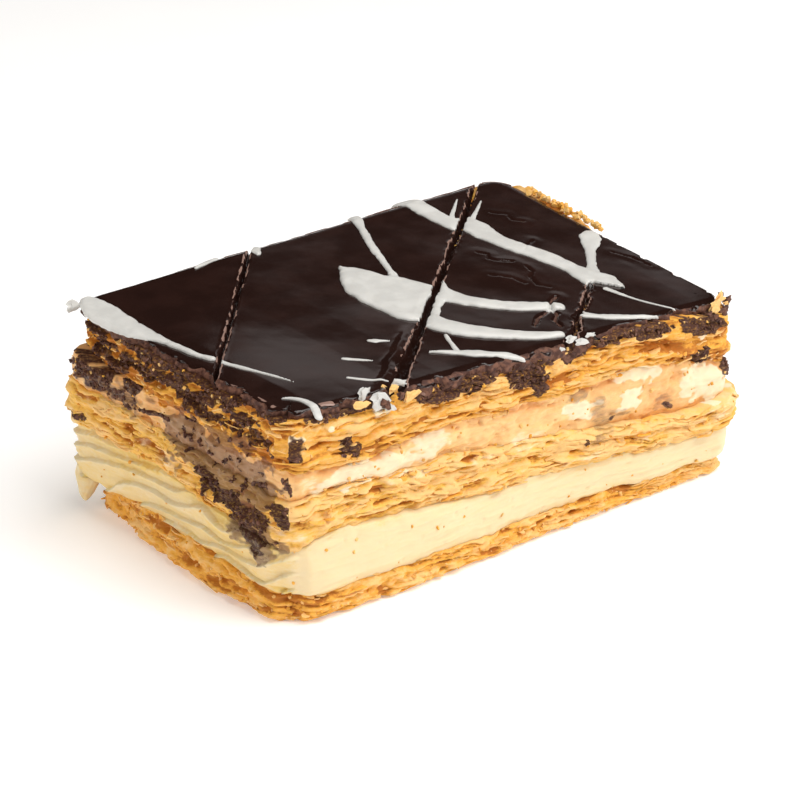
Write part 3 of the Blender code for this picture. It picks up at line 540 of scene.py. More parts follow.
def side_piece(name, columns):
    """One layer: its cut side all round in relief, closed over and under."""
    spec = LAYERS[name]
    rows = spec["rows"]
    piece, u, v = new_grid(name, columns, rows + 4)
    ring = edge_ring(columns)
    at = np.round(u * columns).astype(int) % columns
    row = np.round(v * (rows + 4)).astype(int)
    x, y, nx, ny, spot = ring[at].T
    level = np.clip((row - 2) / rows, 0.0, 1.0)
    profile = np.array(spec["profile"])
    stand = round_values(spec["stand"], spot) + np.interp(level, profile[:, 0], profile[:, 1])
    curl = np.zeros(len(x))
    if name == "top_sheet":
        curl = ramp(spot, 3.05, 3.25) * (1.0 - ramp(spot, 3.74, 3.92))
        curl = curl * (1.0 + 0.3 * noise(77, x / 3.4, y / 3.4) + 0.06 * noise(78, x / 0.9, y / 0.9))
    stand = stand + curl * (0.4 + 1.0 * level)
    if name in SKIRT:
        near = np.minimum(spot, 8.0 - spot)
        skirt = ramp(near, 0.12, 0.3) * (1.0 - ramp(near, 0.55, 1.2))
        stand = stand + SKIRT[name] * skirt
    px = x + nx * stand
    py = y + ny * stand
    low = meeting(spec["low"], px, py) + waver(spec["low"], x, y)
    high = meeting(spec["high"], px, py) + waver(spec["high"], x, y) + LIP_RISE * curl
    if spec["leaves"]:
        low = low - (0.3 if spec["low"] else 0.0)
        high = high + 0.3
    z = low + (high - low) * level
    ragged = 0.45 * noise(70, x / 2.6, y / 2.6, z / 1.7) + 0.25 * noise(71, x / 0.9, y / 0.9, z / 0.7)
    cocoa = marked(COCOA, px, py, z, nx, ny, ragged)
    smear = marked(SMEAR, px, py, z, nx, ny, ragged, 0.2)
    creamy = marked(CREAMY, px, py, z, nx, ny, ragged * 1.2, 0.3)
    baked = marked(BAKED, px, py, z, nx, ny, ragged * 1.1)
    baked = baked * (0.7 + 0.5 * noise(79, x / 1.1, y / 1.1, z / 0.6))
    grains = noise(80, x / 1.6, y / 1.6, z / 1.2) + 0.6 * noise(81, x / 0.7, y / 0.7, z / 0.6)
    cocoa = np.maximum(cocoa, 0.95 * ramp(smear, 0.5, 1.0) * ramp(grains, 0.42, 0.62))
    out, pale = (leaf_relief if spec["leaves"] else cream_relief)(spec, x, y, z, level)
    faces = (np.clip(-ny, 0, 1), np.clip(nx, 0, 1), np.clip(ny, 0, 1), np.clip(-nx, 0, 1))
    # Painted light and shade: each cut side is made paler or darker by how the light falls on it
    for share, tone in zip(faces, spec["painted_side_light"]):
        pale = pale + tone * share**2
    if name == "bottom_sheet":
        pale = pale + 0.2 * ramp(x, 28.0, 40.0) * faces[0]
    if name in ("upper_cream", "top_sheet"):
        pale = pale - 0.2 * ramp(x, 12.0, 50.0) * faces[0]
    film = spec["film"] * ramp(noise(75, x / 5.5, y / 5.5, z / 1.8), -0.3, 0.7)
    creamy = np.maximum(creamy, film + 0.25 * film * noise(76, x / 1.6, y / 1.6, z / 0.8))
    lumps = noise(72, x / 1.3, y / 1.3, z / 1.0)
    paste = 0.7 * noise(73, x / 4.2, y / 4.2, z / 3.2) + 0.25 * noise(74, x / 1.4, y / 1.4, z / 1.1)
    out = out * (1.0 - 0.5 * smear) + smear * (0.45 + 1.3 * paste + 0.3 * lumps)
    out = out * (1.0 - 0.3 * creamy) + creamy * (0.5 + 0.35 * paste)
    out = out + cocoa * (0.25 + 0.5 * lumps) - 0.45 * baked
    dip = 0.25 * noise(spec["seed"] + 9, x / 2.8, y / 2.8, z / 2.0)
    edge = np.clip(np.minimum(level, 1.0 - level) * rows / 3.0, 0.0, 1.0)
    px = px + nx * out
    py = py + ny * out
    pz = z + dip * edge
    if spec["low"] == 0:
        pz = np.maximum(pz, 0.0)
    for end, k, inner in ((0, "low", 1), (rows + 4, "high", rows + 3)):
        cap = (row == end) | (row == inner)
        far = np.where(row == end, 0.0, 1.0)
        cx = x * (1.0 - INSET / HALF_X) * far
        cy = y * (1.0 - INSET / HALF_Y) * far
        px = np.where(cap, cx, px)
        py = np.where(cap, cy, py)
        pz = np.where(cap, meeting(spec[k], cx, cy), pz)
    write_places(piece, place(np.stack([px, py, pz], axis=1)))
    write_mask(piece, "pale", pale - 0.5 * baked)
    write_mask(piece, "cocoa", cocoa)
    write_mask(piece, "smear", smear)
    write_mask(piece, "creamy", creamy)
    write_mask(piece, "side", ((row > 1) & (row < rows + 3)).astype(float))
    merge_seam(piece)
    return piece


def score_gap(line, x, y):
    """Signed distance from a score line, mm along it, half width there, and share of its length."""
    (ax, ay), (bx, by), widths, rough = line
    length = math.hypot(bx - ax, by - ay)
    side = ((bx - ax) * (y - ay) - (by - ay) * (x - ax)) / length
    along = ((bx - ax) * (x - ax) + (by - ay) * (y - ay)) / length
    half = np.interp(along / length, [item[0] for item in widths], [item[1] for item in widths])
    still = side * 0.0
    half = half * (1.0 + 0.25 * noise(80, along / 3.0, still))
    half = half + 0.22 * rough * noise(81, along / 0.9, np.sign(side))
    side = side + 0.3 * rough * noise(82, along / 5.0, still) + 0.2 * rough * noise(86, along / 1.7, still)
    return side, along, np.maximum(half, 0.2), along / length


def rim_distance(x, y):
    """How far inside the slice outline a place is, in mm; negative outside it."""
    ox = np.abs(x) - (HALF_X - CORNER)
    oy = np.abs(y) - (HALF_Y - CORNER)
    corner = np.hypot(np.maximum(ox, 0.0), np.maximum(oy, 0.0))
    return CORNER - np.where((ox > 0.0) & (oy > 0.0), corner, np.maximum(ox, oy))


def glaze_top(x, y):
    """Top of the chocolate in mm: swells, cuts with broken lips, cracks and a soft rim."""
    z = meeting(6, x, y)
    z = z + 0.26 * noise(61, x / 23, y / 23) + 0.035 * noise(62, x / 8, y / 8)
    z = z + 0.006 * noise(63, x / 2.6, y / 2.6)
    broken = np.zeros(np.shape(x))
    pale = np.zeros(np.shape(x))
    for line in SCORES:
        side, along, half, share = score_gap(line, x, y)
        away = np.abs(side)
        inside = 1.0 - ramp(share, 0.97, 1.02)
        depth = (1.0 - ramp(away, half * 0.3, half + 0.1)) * inside
        lip = np.exp(-((away - half - 0.25) / 0.22) ** 2) * inside
        chip = 0.55 + 0.45 * noise(83, along / 1.8, np.sign(side))
        z = z - depth * (1.9 + 0.3 * noise(84, x / 0.8, y / 0.8)) + 0.26 * line[3] ** 0.5 * lip * chip
        broken = np.maximum(broken, ramp(depth, 0.2, 0.6) * (0.14 + 0.2 * line[3]))
        if line is SCORES[1]:
            window = ramp(share, 0.06, 0.14) * (1.0 - ramp(share, 0.24, 0.34))
            z = z + 0.42 * window * np.exp(-((side - half - 1.5) / 1.1) ** 2)
        pale = np.maximum(pale, ramp(lip * chip, 0.25, 0.6))
    for deep, crack in CRACKS:
        away = np.full(np.shape(x), 9.0)
        for a, b in zip(crack, crack[1:]):
            away = np.minimum(away, segment_distance(a, b, x, y)[0])
        away = away + 0.2 * noise(85, x / 1.1, y / 1.1)
        tilt = np.clip((x - crack[0][0]) * 0.02, -0.1, 0.1)
        z = z - deep * (1.0 - ramp(away, 0.0, 0.2 + 0.4 * deep))
        z = z + (0.1 + tilt) * deep * (1.0 - ramp(away, 0.3, 3.0))
        broken = np.maximum(broken, ramp(deep, 0.5, 0.9) * (1.0 - ramp(away, 0.1, 0.5)))
    inside = rim_distance(x, y)
    z = z - 0.55 * (1.0 - ramp(inside, -0.3, 1.5))
    z = z - np.where(inside < 0.0, 0.25 * -inside + 0.06 * inside**2, 0.0)
    return z, broken, pale


def segment_distance(a, b, x, y):
    """Distance from a straight piece, and how far along it from 0 to 1."""
    dx = b[0] - a[0]
    dy = b[1] - a[1]
    f = np.clip(((x - a[0]) * dx + (y - a[1]) * dy) / (dx * dx + dy * dy), 0.0, 1.0)
    return np.hypot(x - a[0] - dx * f, y - a[1] - dy * f), f


def smooth_stations(stations, steps=6):
    """Stations joined by an even curve."""
    points = np.array(stations, dtype=np.float64)
    padded = np.vstack([2 * points[0] - points[1], points, 2 * points[-1] - points[-2]])
    result = [points[0]]
    for i in range(1, len(padded) - 2):
        a, b, c, d = padded[i - 1:i + 3]
        for step in range(1, steps + 1):
            t = step / steps
            bend = (2 * a - 5 * b + 4 * c - d) * t * t + (3 * b - a - 3 * c + d) * t**3
            curve = 0.5 * (2 * b + (c - a) * t + bend)
            curve[2] = b[2] + (c[2] - b[2]) * t
            result.append(curve)
    return result


def icing_cover(x, y):
    """How far inside the icing each place is, in mm, and its height over the chocolate."""
    best = np.full(np.shape(x), -9.0)
    rise = np.zeros(np.shape(x))
    wobble = 0.16 * noise(90, x / 1.1, y / 1.1) + 0.22 * noise(91, x / 3.3, y / 3.3)
    gaps = []
    for line in SCORES:
        side, _, half, share = score_gap(line, x, y)
        ax, ay = line[0]
        bx, by = line[1]
        gaps.append((side, half, share, (ax, ay, bx - ax, by - ay)))
    for crown, stations in STROKES:
        curve = smooth_stations(stations)
        reach = max(item[2] for item in curve) / 2.0 + 1.0
        xs = [item[0] for item in curve]
        ys = [item[1] for item in curve]
        near = (x > min(xs) - reach) & (x < max(xs) + reach) & (y > min(ys) - reach) & (y < max(ys) + reach)
        cx = x[near]
        cy = y[near]
        depth = np.full(cx.shape, -9.0)
        round_off = np.ones(cx.shape)
        for a, b in zip(curve, curve[1:]):
            away, f = segment_distance(a[:2], b[:2], cx, cy)
            half = (a[2] + (b[2] - a[2]) * f) / 2.0
            deeper = half - away > depth
            depth = np.where(deeper, half - away, depth)
            round_off = np.where(deeper, np.clip(half, 0.3, 1.7), round_off)
        depth = depth + wobble[near] * np.clip(round_off, 0.3, 1.0)
        for side, half, share, (ax, ay, dx, dy) in gaps:
            middle = stations[len(stations) // 2 - 1]
            own = math.copysign(1.0, dx * (middle[1] - ay) - dy * (middle[0] - ax))
            cut = own * side[near] - half[near] - 0.05
            depth = np.where(share[near] < 1.0, np.minimum(depth, cut), depth)
        height = crown * np.sqrt(np.clip(1.0 - (1.0 - np.clip(depth / round_off, 0.0, 1.0)) ** 2, 0.0, 1.0))
        height = height * (1.0 + 0.12 * noise(92, cx / 2.6, cy / 2.6))
        best[near] = np.maximum(best[near], depth)
        rise[near] = np.maximum(rise[near], height)
    return best, rise


def slice_plate(u, v):
    """A square's places laid on the rounded slice outline with its uneven rim."""
    x = (u * 2.0 - 1.0) * HALF_X
    y = (v * 2.0 - 1.0) * HALF_Y
    ox = np.abs(x) - (HALF_X - CORNER)
    oy = np.abs(y) - (HALF_Y - CORNER)
    both = (ox > 0.0) & (oy > 0.0)
    far = np.maximum(np.hypot(ox, oy), 1e-6)
    reach = np.where(both, np.maximum(ox, oy) / far, 1.0)
    x = np.where(both, np.copysign(HALF_X - CORNER + ox * reach, x), x)
    y = np.where(both, np.copysign(HALF_Y - CORNER + oy * reach, y), y)
    ring = edge_ring(RING_POINTS)
    near = np.zeros(len(x), dtype=int)
    close = np.flatnonzero(rim_distance(x, y) < 9.0)
    for part in np.array_split(close, 24):
        away = (x[part, None] - ring[None, :, 0]) ** 2 + (y[part, None] - ring[None, :, 1]) ** 2
        near[part] = away.argmin(axis=1)
    nx = ring[near, 2]
    ny = ring[near, 3]
    pull = 1.0 - ramp(rim_distance(x, y), 0.0, 8.0)
    stand = round_values(GLAZE_STAND, ring[near, 4]) + rim_sway(ring[near, 0], ring[near, 1])
    return x + nx * stand * pull, y + ny * stand * pull


def rim_sway(x, y):
    """Uneven edge of the chocolate sheet in mm."""
    chips = ramp(noise(66, x / 2.4, y / 2.4), 0.35, 0.8)
    return 0.7 * noise(64, x / 9, y / 9) + 0.35 * noise(65, x / 2.0, y / 2.0) - 0.9 * chips


def glaze_piece(columns, rows):
    """The chocolate sheet: its top in relief and its broken sides going down."""
    piece, u, v = new_grid("chocolate_glaze", columns, rows)
    x, y = slice_plate(u, v)
    z, broken, pale = glaze_top(x, y)
    write_places(piece, place(np.stack([x, y, z], axis=1)))
    selected_only(piece)
    first = len(piece.data.vertices)
    drops = 9
    bpy.ops.object.mode_set(mode="EDIT")
    bpy.ops.mesh.select_all(action="SELECT")
    bpy.ops.mesh.region_to_loop()
    for _ in range(drops):
        drop = (0.0, 0.0, -GLAZE_WALL / drops * MM)
        bpy.ops.mesh.extrude_region_move(TRANSFORM_OT_translate={"value": drop})
    bpy.ops.mesh.extrude_region_move(TRANSFORM_OT_translate={"value": (0.0, 0.0, 0.0)})
    bpy.ops.mesh.merge(type="CENTER")
    bpy.ops.mesh.select_all(action="SELECT")
    bpy.ops.mesh.normals_make_consistent(inside=False)
    bpy.ops.object.mode_set(mode="OBJECT")
    points = read_places(piece) / MM + (MIDDLE[0], MIDDLE[1], 0.0)
    side = np.zeros(len(points), dtype=bool)
    side[first:] = True
    px, py, pz = points.T
    down = np.clip((glaze_top(px, py)[0] - pz) / GLAZE_WALL, 0.0, 1.0)
    ring = edge_ring(RING_POINTS)
    wall = np.flatnonzero(side)
    away = (px[wall, None] - ring[None, :, 0]) ** 2 + (py[wall, None] - ring[None, :, 1]) ** 2
    near = away.argmin(axis=1)
    wx = ring[near, 2]
    wy = ring[near, 3]
    crumb = 0.55 * noise(67, px[wall] / 1.2, py[wall] / 1.2, pz[wall] / 0.9)
    crumb = crumb + 0.35 * noise(68, px[wall] / 0.5, py[wall] / 0.5, pz[wall] / 0.45)
    push = (0.2 + 1.0 * crumb) * ramp(down[wall], 0.0, 0.3) - 0.5 * ramp(down[wall], 0.7, 1.0)
    inside = np.hypot(px[wall], py[wall]) < 20.0
    push = np.where(inside, 0.0, push)
    px[wall] = px[wall] + wx * push
    py[wall] = py[wall] + wy * push
    write_places(piece, place(np.stack([px, py, pz], axis=1)))
    rough = np.zeros(len(points))
    rim = rim_distance(x, y)
    rough[:first] = np.maximum(broken, 1.0 - ramp(rim + 0.5 * noise(69, x / 1.3, y / 1.3), -0.2, 0.7))
    rough[first:] = ramp(down[wall] + 0.3 * noise(67, px[wall] / 2, py[wall] / 2), 0.02, 0.2)
    write_mask(piece, "broken", rough)
    lips_and_sheen = np.zeros(len(points))
    # Painted highlights: grey sheen painted on the glaze rim near A in the chalky lip colour, added to the
    # real chalky lips beside the score lines
    painted_rim_sheen = ramp(noise(87, x / 1.5, y / 1.5), 0.0, 0.6) * (1.0 - ramp(rim, 1.0, 2.6))
    painted_rim_sheen = painted_rim_sheen * (1.0 - ramp(x, -46.0, -40.0)) * (1.0 - ramp(y, -22.0, -12.0))
    lips_and_sheen[:first] = np.maximum(pale, painted_rim_sheen)
    write_mask(piece, "lip", lips_and_sheen)
    selected_only(piece)
    bpy.ops.object.shade_smooth()
    return piece


def icing_piece(columns, rows):
    """All the icing lines: a fine grid over the top, kept where icing lies and given its thickness."""
    piece, u, v = new_grid("icing_lines", columns, rows)
    left, low, width, depth = ICING_FIELD
    x = left + width * u
    y = low + depth * v
    cover, rise = icing_cover(x, y)
    step = width / columns
    index = np.arange(len(x)).reshape(rows + 1, columns + 1)
    if abs(v[1] - v[0]) > abs(u[1] - u[0]):
        index = np.arange(len(x)).reshape(columns + 1, rows + 1).T
    field = cover[index]
    gy, gx = np.gradient(field)
    slope = np.maximum(np.hypot(gx, gy), 1e-3)
    shift_x = np.zeros(len(x))
    shift_y = np.zeros(len(x))
    shift_x[index] = gx / slope
    shift_y[index] = gy / slope
    outside = cover < 0.0
    reach = np.clip(-cover, 0.0, step * 1.6)
    x = np.where(outside, x + shift_x * reach, x)
    y = np.where(outside, y + shift_y * reach, y)
    z = glaze_top(x, y)[0]
    inside = rim_distance(x, y)
    z = z + np.where(outside, -0.08, rise) + np.where(inside < 0.3, 0.15, 0.0)
    write_places(piece, place(np.stack([x, y, z], axis=1)))
    keep = cover > 0.0
    selected_only(piece)
    faces = np.empty(len(piece.data.polygons) * 4, dtype=int)
    piece.data.polygons.foreach_get("vertices", faces)
    faces = faces.reshape(-1, 4)
    drop = ~keep[faces].any(axis=1)
    piece.data.vertices.foreach_set("select", np.zeros(len(x), dtype=bool))
    piece.data.edges.foreach_set("select", np.zeros(len(piece.data.edges), dtype=bool))
    piece.data.polygons.foreach_set("select", drop)
    bpy.context.tool_settings.mesh_select_mode = (False, False, True)
    bpy.ops.object.mode_set(mode="EDIT")
    bpy.ops.mesh.delete(type="FACE")
    bpy.ops.mesh.select_all(action="SELECT")
    bpy.ops.mesh.normals_make_consistent(inside=False)
    bpy.ops.object.mode_set(mode="OBJECT")
    bpy.context.tool_settings.mesh_select_mode = (True, False, False)
    thick = piece.modifiers.new("thickness", "SOLIDIFY")
    thick.thickness = ICING_THICKNESS
    thick.offset = -1.0
    bpy.ops.object.modifier_apply(modifier=thick.name)
    bpy.ops.object.shade_smooth()
    return piece


def master_flake(seed):
    """One broken leaf: a thin ragged plate a unit wide, lying flat."""
    start_clean()
    bpy.ops.mesh.primitive_circle_add(vertices=9, radius=0.5, fill_type="TRIFAN", location=(0, 0, 0))
    piece = bpy.context.object
    bpy.ops.object.mode_set(mode="EDIT")
    bpy.ops.mesh.select_all(action="SELECT")
    bpy.ops.mesh.extrude_region_move(TRANSFORM_OT_translate={"value": (0.0, 0.0, 1.0)})
    bpy.ops.mesh.select_all(action="SELECT")
    bpy.ops.mesh.normals_make_consistent(inside=False)
    bpy.ops.object.mode_set(mode="OBJECT")
    places = read_places(piece)
    angle = np.arctan2(places[:, 1], places[:, 0])
    far = np.hypot(places[:, 0], places[:, 1])
    jag = 1.0 + 0.45 * noise(seed, angle * 1.6, places[:, 2] * 0.0)
    places[:, 0] = np.cos(angle) * far * jag
    places[:, 1] = np.sin(angle) * far * jag
    places[:, 2] = places[:, 2] - 0.5 + 1.1 * noise(seed + 1, places[:, 0] * 2.2, places[:, 1] * 2.2)
    write_places(piece, places)
    return piece


def master_crumb(seed, rounds, rough=0.5):
    """One crumb: a lumpy broken grain a unit wide."""
    start_clean()
    bpy.ops.mesh.primitive_ico_sphere_add(subdivisions=rounds, radius=0.5, location=(0, 0, 0))
    piece = bpy.context.object
    places = read_places(piece)
    swell = 1.0 + rough * noise(seed, places[:, 0] * 3.1 + 5, places[:, 1] * 3.1, places[:, 2] * 3.1)
    write_places(piece, places * swell[:, None])
    return piece


def scatter(name, masters, spots, masks):
    """Copies of the masters set down as one piece: each spot is a place and three size directions."""
    points = []
    faces = []
    values = {key: [] for key in masks}
    count = 0
    shapes = []
    for master in masters:
        master.data.calc_loop_triangles()
        corners = np.empty(len(master.data.loop_triangles) * 3, dtype=int)
        master.data.loop_triangles.foreach_get("vertices", corners)
        shapes.append((read_places(master), corners.reshape(-1, 3)))
    for i, (middle, along, out, up) in enumerate(spots):
        shape, corners = shapes[i % len(shapes)]
        points.append(middle + shape[:, :1] * along + shape[:, 1:2] * out + shape[:, 2:] * up)
        faces.append(corners + count)
        count += len(shape)
        for key in masks:
            values[key].append(np.full(len(shape), masks[key][i]))
    for master in masters:
        bpy.data.objects.remove(master)
    mesh = bpy.data.meshes.new(name)
    mesh.from_pydata(np.concatenate(points).tolist(), [], np.concatenate(faces).tolist())
    piece = bpy.data.objects.new(name, mesh)
    bpy.context.scene.collection.objects.link(piece)
    for key in masks:
        write_mask(piece, key, np.concatenate(values[key]))
    selected_only(piece)
    bpy.ops.object.shade_smooth_by_angle(angle=math.radians(40.0))
    return piece


def side_spots(piece):
    """Places on a cut side, and the piece's own masks there."""
    mesh = piece.data
    places = read_places(piece)
    masks = {}
    for name in (*MARK_NAMES, "side"):
        values = np.empty(len(mesh.vertices))
        mesh.attributes[name].data.foreach_get("value", values)
        masks[name] = values
    keep = masks["side"] > 0.5
    return places[keep], {name: values[keep] for name, values in masks.items()}


def wall_normal(places):
    """Level outward direction of the nearest outline, and the direction along it."""
    ring = edge_ring(360)
    points = places / MM + (MIDDLE[0], MIDDLE[1], 0.0)
    away = (points[:, None, 0] - ring[None, :, 0]) ** 2 + (points[:, None, 1] - ring[None, :, 1]) ** 2
    near = away.argmin(axis=1)
    out = np.stack([ring[near, 2], ring[near, 3], np.zeros(len(near))], axis=1)
    return out, np.stack([-out[:, 1], out[:, 0], np.zeros(len(out))], axis=1)


def new_tree(material):
    """Node tree of a fresh material, emptied."""
    material.use_nodes = True
    material.node_tree.nodes.clear()
    return material.node_tree


def add(tree, kind, inputs=None, **settings):
    """One node with its settings and its unlinked inputs or links."""
    node = tree.nodes.new(kind)
    for key, value in settings.items():
        setattr(node, key, value)
    for key, value in (inputs or {}).items():
        socket = node.inputs[key]
        if isinstance(value, bpy.types.NodeSocket):
            tree.links.new(value, socket)
        else:
            socket.default_value = value
    return node


def group_sockets(tree, inputs, outputs):
    """Named inputs and outputs of a node group."""
    for name, kind, value in inputs:
        socket = tree.interface.new_socket(name=name, in_out="INPUT", socket_type=kind)
        socket.default_value = value
    for name, kind in outputs:
        tree.interface.new_socket(name=name, in_out="OUTPUT", socket_type=kind)
    return add(tree, "NodeGroupInput"), add(tree, "NodeGroupOutput")


def eased(tree, value, low, high):
    """Eased step of a value between two limits."""
    node = add(tree, "ShaderNodeMapRange", {0: value, 1: low, 2: high, 3: 0.0, 4: 1.0},
               interpolation_type="SMOOTHSTEP")
    return node.outputs[0]


def mixed(tree, share, first, second):
    """Two colours mixed."""
    node = add(tree, "ShaderNodeMix", data_type="RGBA")
    for i, value in ((0, share), (6, first), (7, second)):
        if isinstance(value, bpy.types.NodeSocket):
            tree.links.new(value, node.inputs[i])
        else:
            node.inputs[i].default_value = value
    return node.outputs[2]


def summed(tree, first, second, kind="ADD"):
    """Two values added, taken or multiplied."""
    return add(tree, "ShaderNodeMath", {0: first, 1: second}, operation=kind).outputs[0]


def speckle(tree, scale, stretch, detail=3.0):
    """Noise on object places, squeezed in height to follow the layers."""
    where = add(tree, "ShaderNodeTexCoord").outputs["Object"]
    turn = add(tree, "ShaderNodeMapping", {"Vector": where, "Scale": (1.0, 1.0, stretch)})
    node = add(tree, "ShaderNodeTexNoise", {"Vector": turn.outputs[0], "Scale": scale, "Detail": detail,
                                            "Roughness": 0.6})
    return node.outputs[0]


def browning_group():
    """Colour of baked leaves from how pale they are painted, which follows how far they stand out as painted
    light and shade, with cocoa, paste and cream on them.
    """
    tree = bpy.data.node_groups.new("Browning", "ShaderNodeTree")
    inputs, outputs = group_sockets(
        tree,
        (("Pale", "NodeSocketFloat", 0.5), ("Cocoa", "NodeSocketFloat", 0.0),
         ("Smear", "NodeSocketFloat", 0.0), ("Creamy", "NodeSocketFloat", 0.0),
         ("Straw Color", "NodeSocketColor", (0.8, 0.6, 0.3, 1.0)),
         ("Gold Color", "NodeSocketColor", (0.7, 0.4, 0.1, 1.0)),
         ("Crust And Shade Color", "NodeSocketColor", (0.3, 0.1, 0.02, 1.0)),
         ("Cocoa Color", "NodeSocketColor", (0.06, 0.025, 0.015, 1.0)),
         ("Paste Color", "NodeSocketColor", (0.2, 0.1, 0.06, 1.0)),
         ("Cream Color", "NodeSocketColor", (0.85, 0.75, 0.5, 1.0))),
        (("Color", "NodeSocketColor"), ("Roughness", "NodeSocketFloat"), ("Height", "NodeSocketFloat")),
    )
    coarse = speckle(tree, 330.0, 3.0)
    fine = speckle(tree, 1500.0, 2.2, 2.0)
    wide = speckle(tree, 90.0, 2.0, 2.0)
    stir = summed(tree, summed(tree, coarse, 0.5, "SUBTRACT"), 0.55, "MULTIPLY")
    grain = summed(tree, summed(tree, fine, 0.5, "SUBTRACT"), 0.45, "MULTIPLY")
    drift = summed(tree, summed(tree, wide, 0.5, "SUBTRACT"), 0.4, "MULTIPLY")
    tone = summed(tree, summed(tree, summed(tree, inputs.outputs["Pale"], stir), grain), drift)
    brown = mixed(tree, eased(tree, tone, 0.08, 0.42), inputs.outputs["Crust And Shade Color"],
                  inputs.outputs["Gold Color"])
    baked = mixed(tree, eased(tree, tone, 0.38, 0.78), brown, inputs.outputs["Straw Color"])
    cream = mixed(tree, eased(tree, summed(tree, inputs.outputs["Creamy"], stir), 0.3, 0.6), baked,
                  inputs.outputs["Cream Color"])
    dim = summed(tree, coarse, 0.6, "ADD")
    paste_tone = mixed(tree, eased(tree, fine, 0.35, 0.7), inputs.outputs["Paste Color"], cream)
    paste = mixed(tree, 0.72, cream, inputs.outputs["Paste Color"])
    thick = mixed(tree, 0.45, paste_tone, inputs.outputs["Paste Color"])
    paste = mixed(tree, eased(tree, coarse, 0.5, 0.75), paste, thick)
    smeared = mixed(tree, eased(tree, summed(tree, inputs.outputs["Smear"], stir), 0.25, 0.6), cream, paste)
    dark = mixed(tree, eased(tree, fine, 0.45, 0.8), inputs.outputs["Cocoa Color"],
                 mixed(tree, 0.35, inputs.outputs["Cocoa Color"], inputs.outputs["Gold Color"]))
    final = mixed(tree, eased(tree, summed(tree, inputs.outputs["Cocoa"], stir), 0.35, 0.6), smeared, dark)
    tree.links.new(final, outputs.inputs["Color"])
    tree.links.new(eased(tree, dim, -0.6, 2.2), outputs.inputs["Roughness"])
    tree.links.new(summed(tree, fine, summed(tree, coarse, 1.4, "MULTIPLY")), outputs.inputs["Height"])
    return tree


def grain_group():
    """Small unevenness for bump and gloss."""
    tree = bpy.data.node_groups.new("Small Unevenness", "ShaderNodeTree")
    inputs, outputs = group_sockets(
        tree,
        (("Scale", "NodeSocketFloat", 400.0), ("Stretch", "NodeSocketFloat", 1.0),
         ("Low", "NodeSocketFloat", 0.3), ("High", "NodeSocketFloat", 0.5)),
        (("Height", "NodeSocketFloat"), ("Roughness", "NodeSocketFloat"), ("Mask", "NodeSocketFloat")),
    )
    place_node = add(tree, "ShaderNodeTexCoord")
    size = add(tree, "ShaderNodeCombineXYZ", {0: 1.0, 1: 1.0, 2: inputs.outputs["Stretch"]})
    turned = add(tree, "ShaderNodeVectorMath", {0: place_node.outputs["Object"], 1: size.outputs[0]},
                 operation="MULTIPLY")
    noise_node = add(tree, "ShaderNodeTexNoise", {
        "Vector": turned.outputs[0], "Scale": inputs.outputs["Scale"], "Detail": 4.0, "Roughness": 0.55,
    })
    spread = add(tree, "ShaderNodeMapRange", {
        0: noise_node.outputs[0], 1: 0.3, 2: 0.7, 3: inputs.outputs["Low"], 4: inputs.outputs["High"],
    })
    tree.links.new(noise_node.outputs[0], outputs.inputs["Height"])
    tree.links.new(spread.outputs[0], outputs.inputs["Roughness"])
    tree.links.new(eased(tree, noise_node.outputs[0], 0.4, 0.65), outputs.inputs["Mask"])
    return tree


def group(name):
    """A node group by name, built the first time it is asked for."""
    made = bpy.data.node_groups.get(name)
    return made or {"Browning": browning_group, "Small Unevenness": grain_group}[name]()


def mask(tree, name):
    """A piece's own mask read by its name."""
    return add(tree, "ShaderNodeAttribute", attribute_name=name, attribute_type="GEOMETRY").outputs["Fac"]


def uneven(tree, scale, stretch, low, high):
    """Small unevenness at a scale, with the roughness it spreads over."""
    return add(tree, "ShaderNodeGroup", {"Scale": scale, "Stretch": stretch, "Low": low, "High": high},
               node_tree=group("Small Unevenness"))


def bumped(tree, height, strength, distance):
    """Normals raised by a height."""
    node = add(tree, "ShaderNodeBump", {"Height": height, "Strength": strength, "Distance": distance})
    return node.outputs[0]


def finished(name, build):
    """A material whose Principled inputs build gives for its emptied tree."""
    material = bpy.data.materials.new(name)
    tree = new_tree(material)
    shader = add(tree, "ShaderNodeBsdfPrincipled", build(tree))
    out = add(tree, "ShaderNodeOutputMaterial")
    tree.links.new(shader.outputs[0], out.inputs["Surface"])
    return material


def marked_tone(tree, straw, gold, crust_and_shade):
    """Browning group fed with a piece's own masks and three tones."""
    colours = bpy.context.scene.pastry_colours
    tone = add(tree, "ShaderNodeGroup", node_tree=group("Browning"))
    for name in MARK_NAMES:
        tree.links.new(mask(tree, name), tone.inputs[name.title()])
    for key, value in (("Straw", straw), ("Gold", gold), ("Crust And Shade", crust_and_shade), ("Cocoa", colours.cocoa),
                       ("Paste", colours.paste), ("Cream", colours.cream)):
        tone.inputs[key + " Color"].default_value = (*value, 1.0)
    return tone


def baked_material(name, straw, gold, crust_and_shade):
    """Finish of baked pastry leaves and their crumbs."""
    def build(tree):
        tone = marked_tone(tree, straw, gold, crust_and_shade)
        return {
            "Base Color": tone.outputs["Color"], "Roughness": tone.outputs["Roughness"],
            "Normal": bumped(tree, tone.outputs["Height"], 0.5, 0.0003),
            "Specular IOR Level": 0.35, "Subsurface Weight": 0.12, "Subsurface Scale": 0.001,
            "Subsurface Radius": (1.0, 0.55, 0.25),
        }
    return finished(name, build)


def cream_material(name, deep, bright):
    """Finish of custard and cream, with cocoa paste and pale lumps in it."""
    def build(tree):
        middle = [(a + b) / 2.0 for a, b in zip(deep, bright)]
        tone = marked_tone(tree, bright, middle, deep)
        grain = uneven(tree, 260.0, 3.5, 0.32, 0.5)
        return {
            "Base Color": tone.outputs["Color"], "Roughness": grain.outputs["Roughness"],
            "Normal": bumped(tree, grain.outputs["Height"], 0.35, 0.0004),
            "Specular IOR Level": 0.45, "Subsurface Weight": 0.25, "Subsurface Scale": 0.0025,
            "Subsurface Radius": (1.0, 0.75, 0.4),
        }
    return finished(name, build)


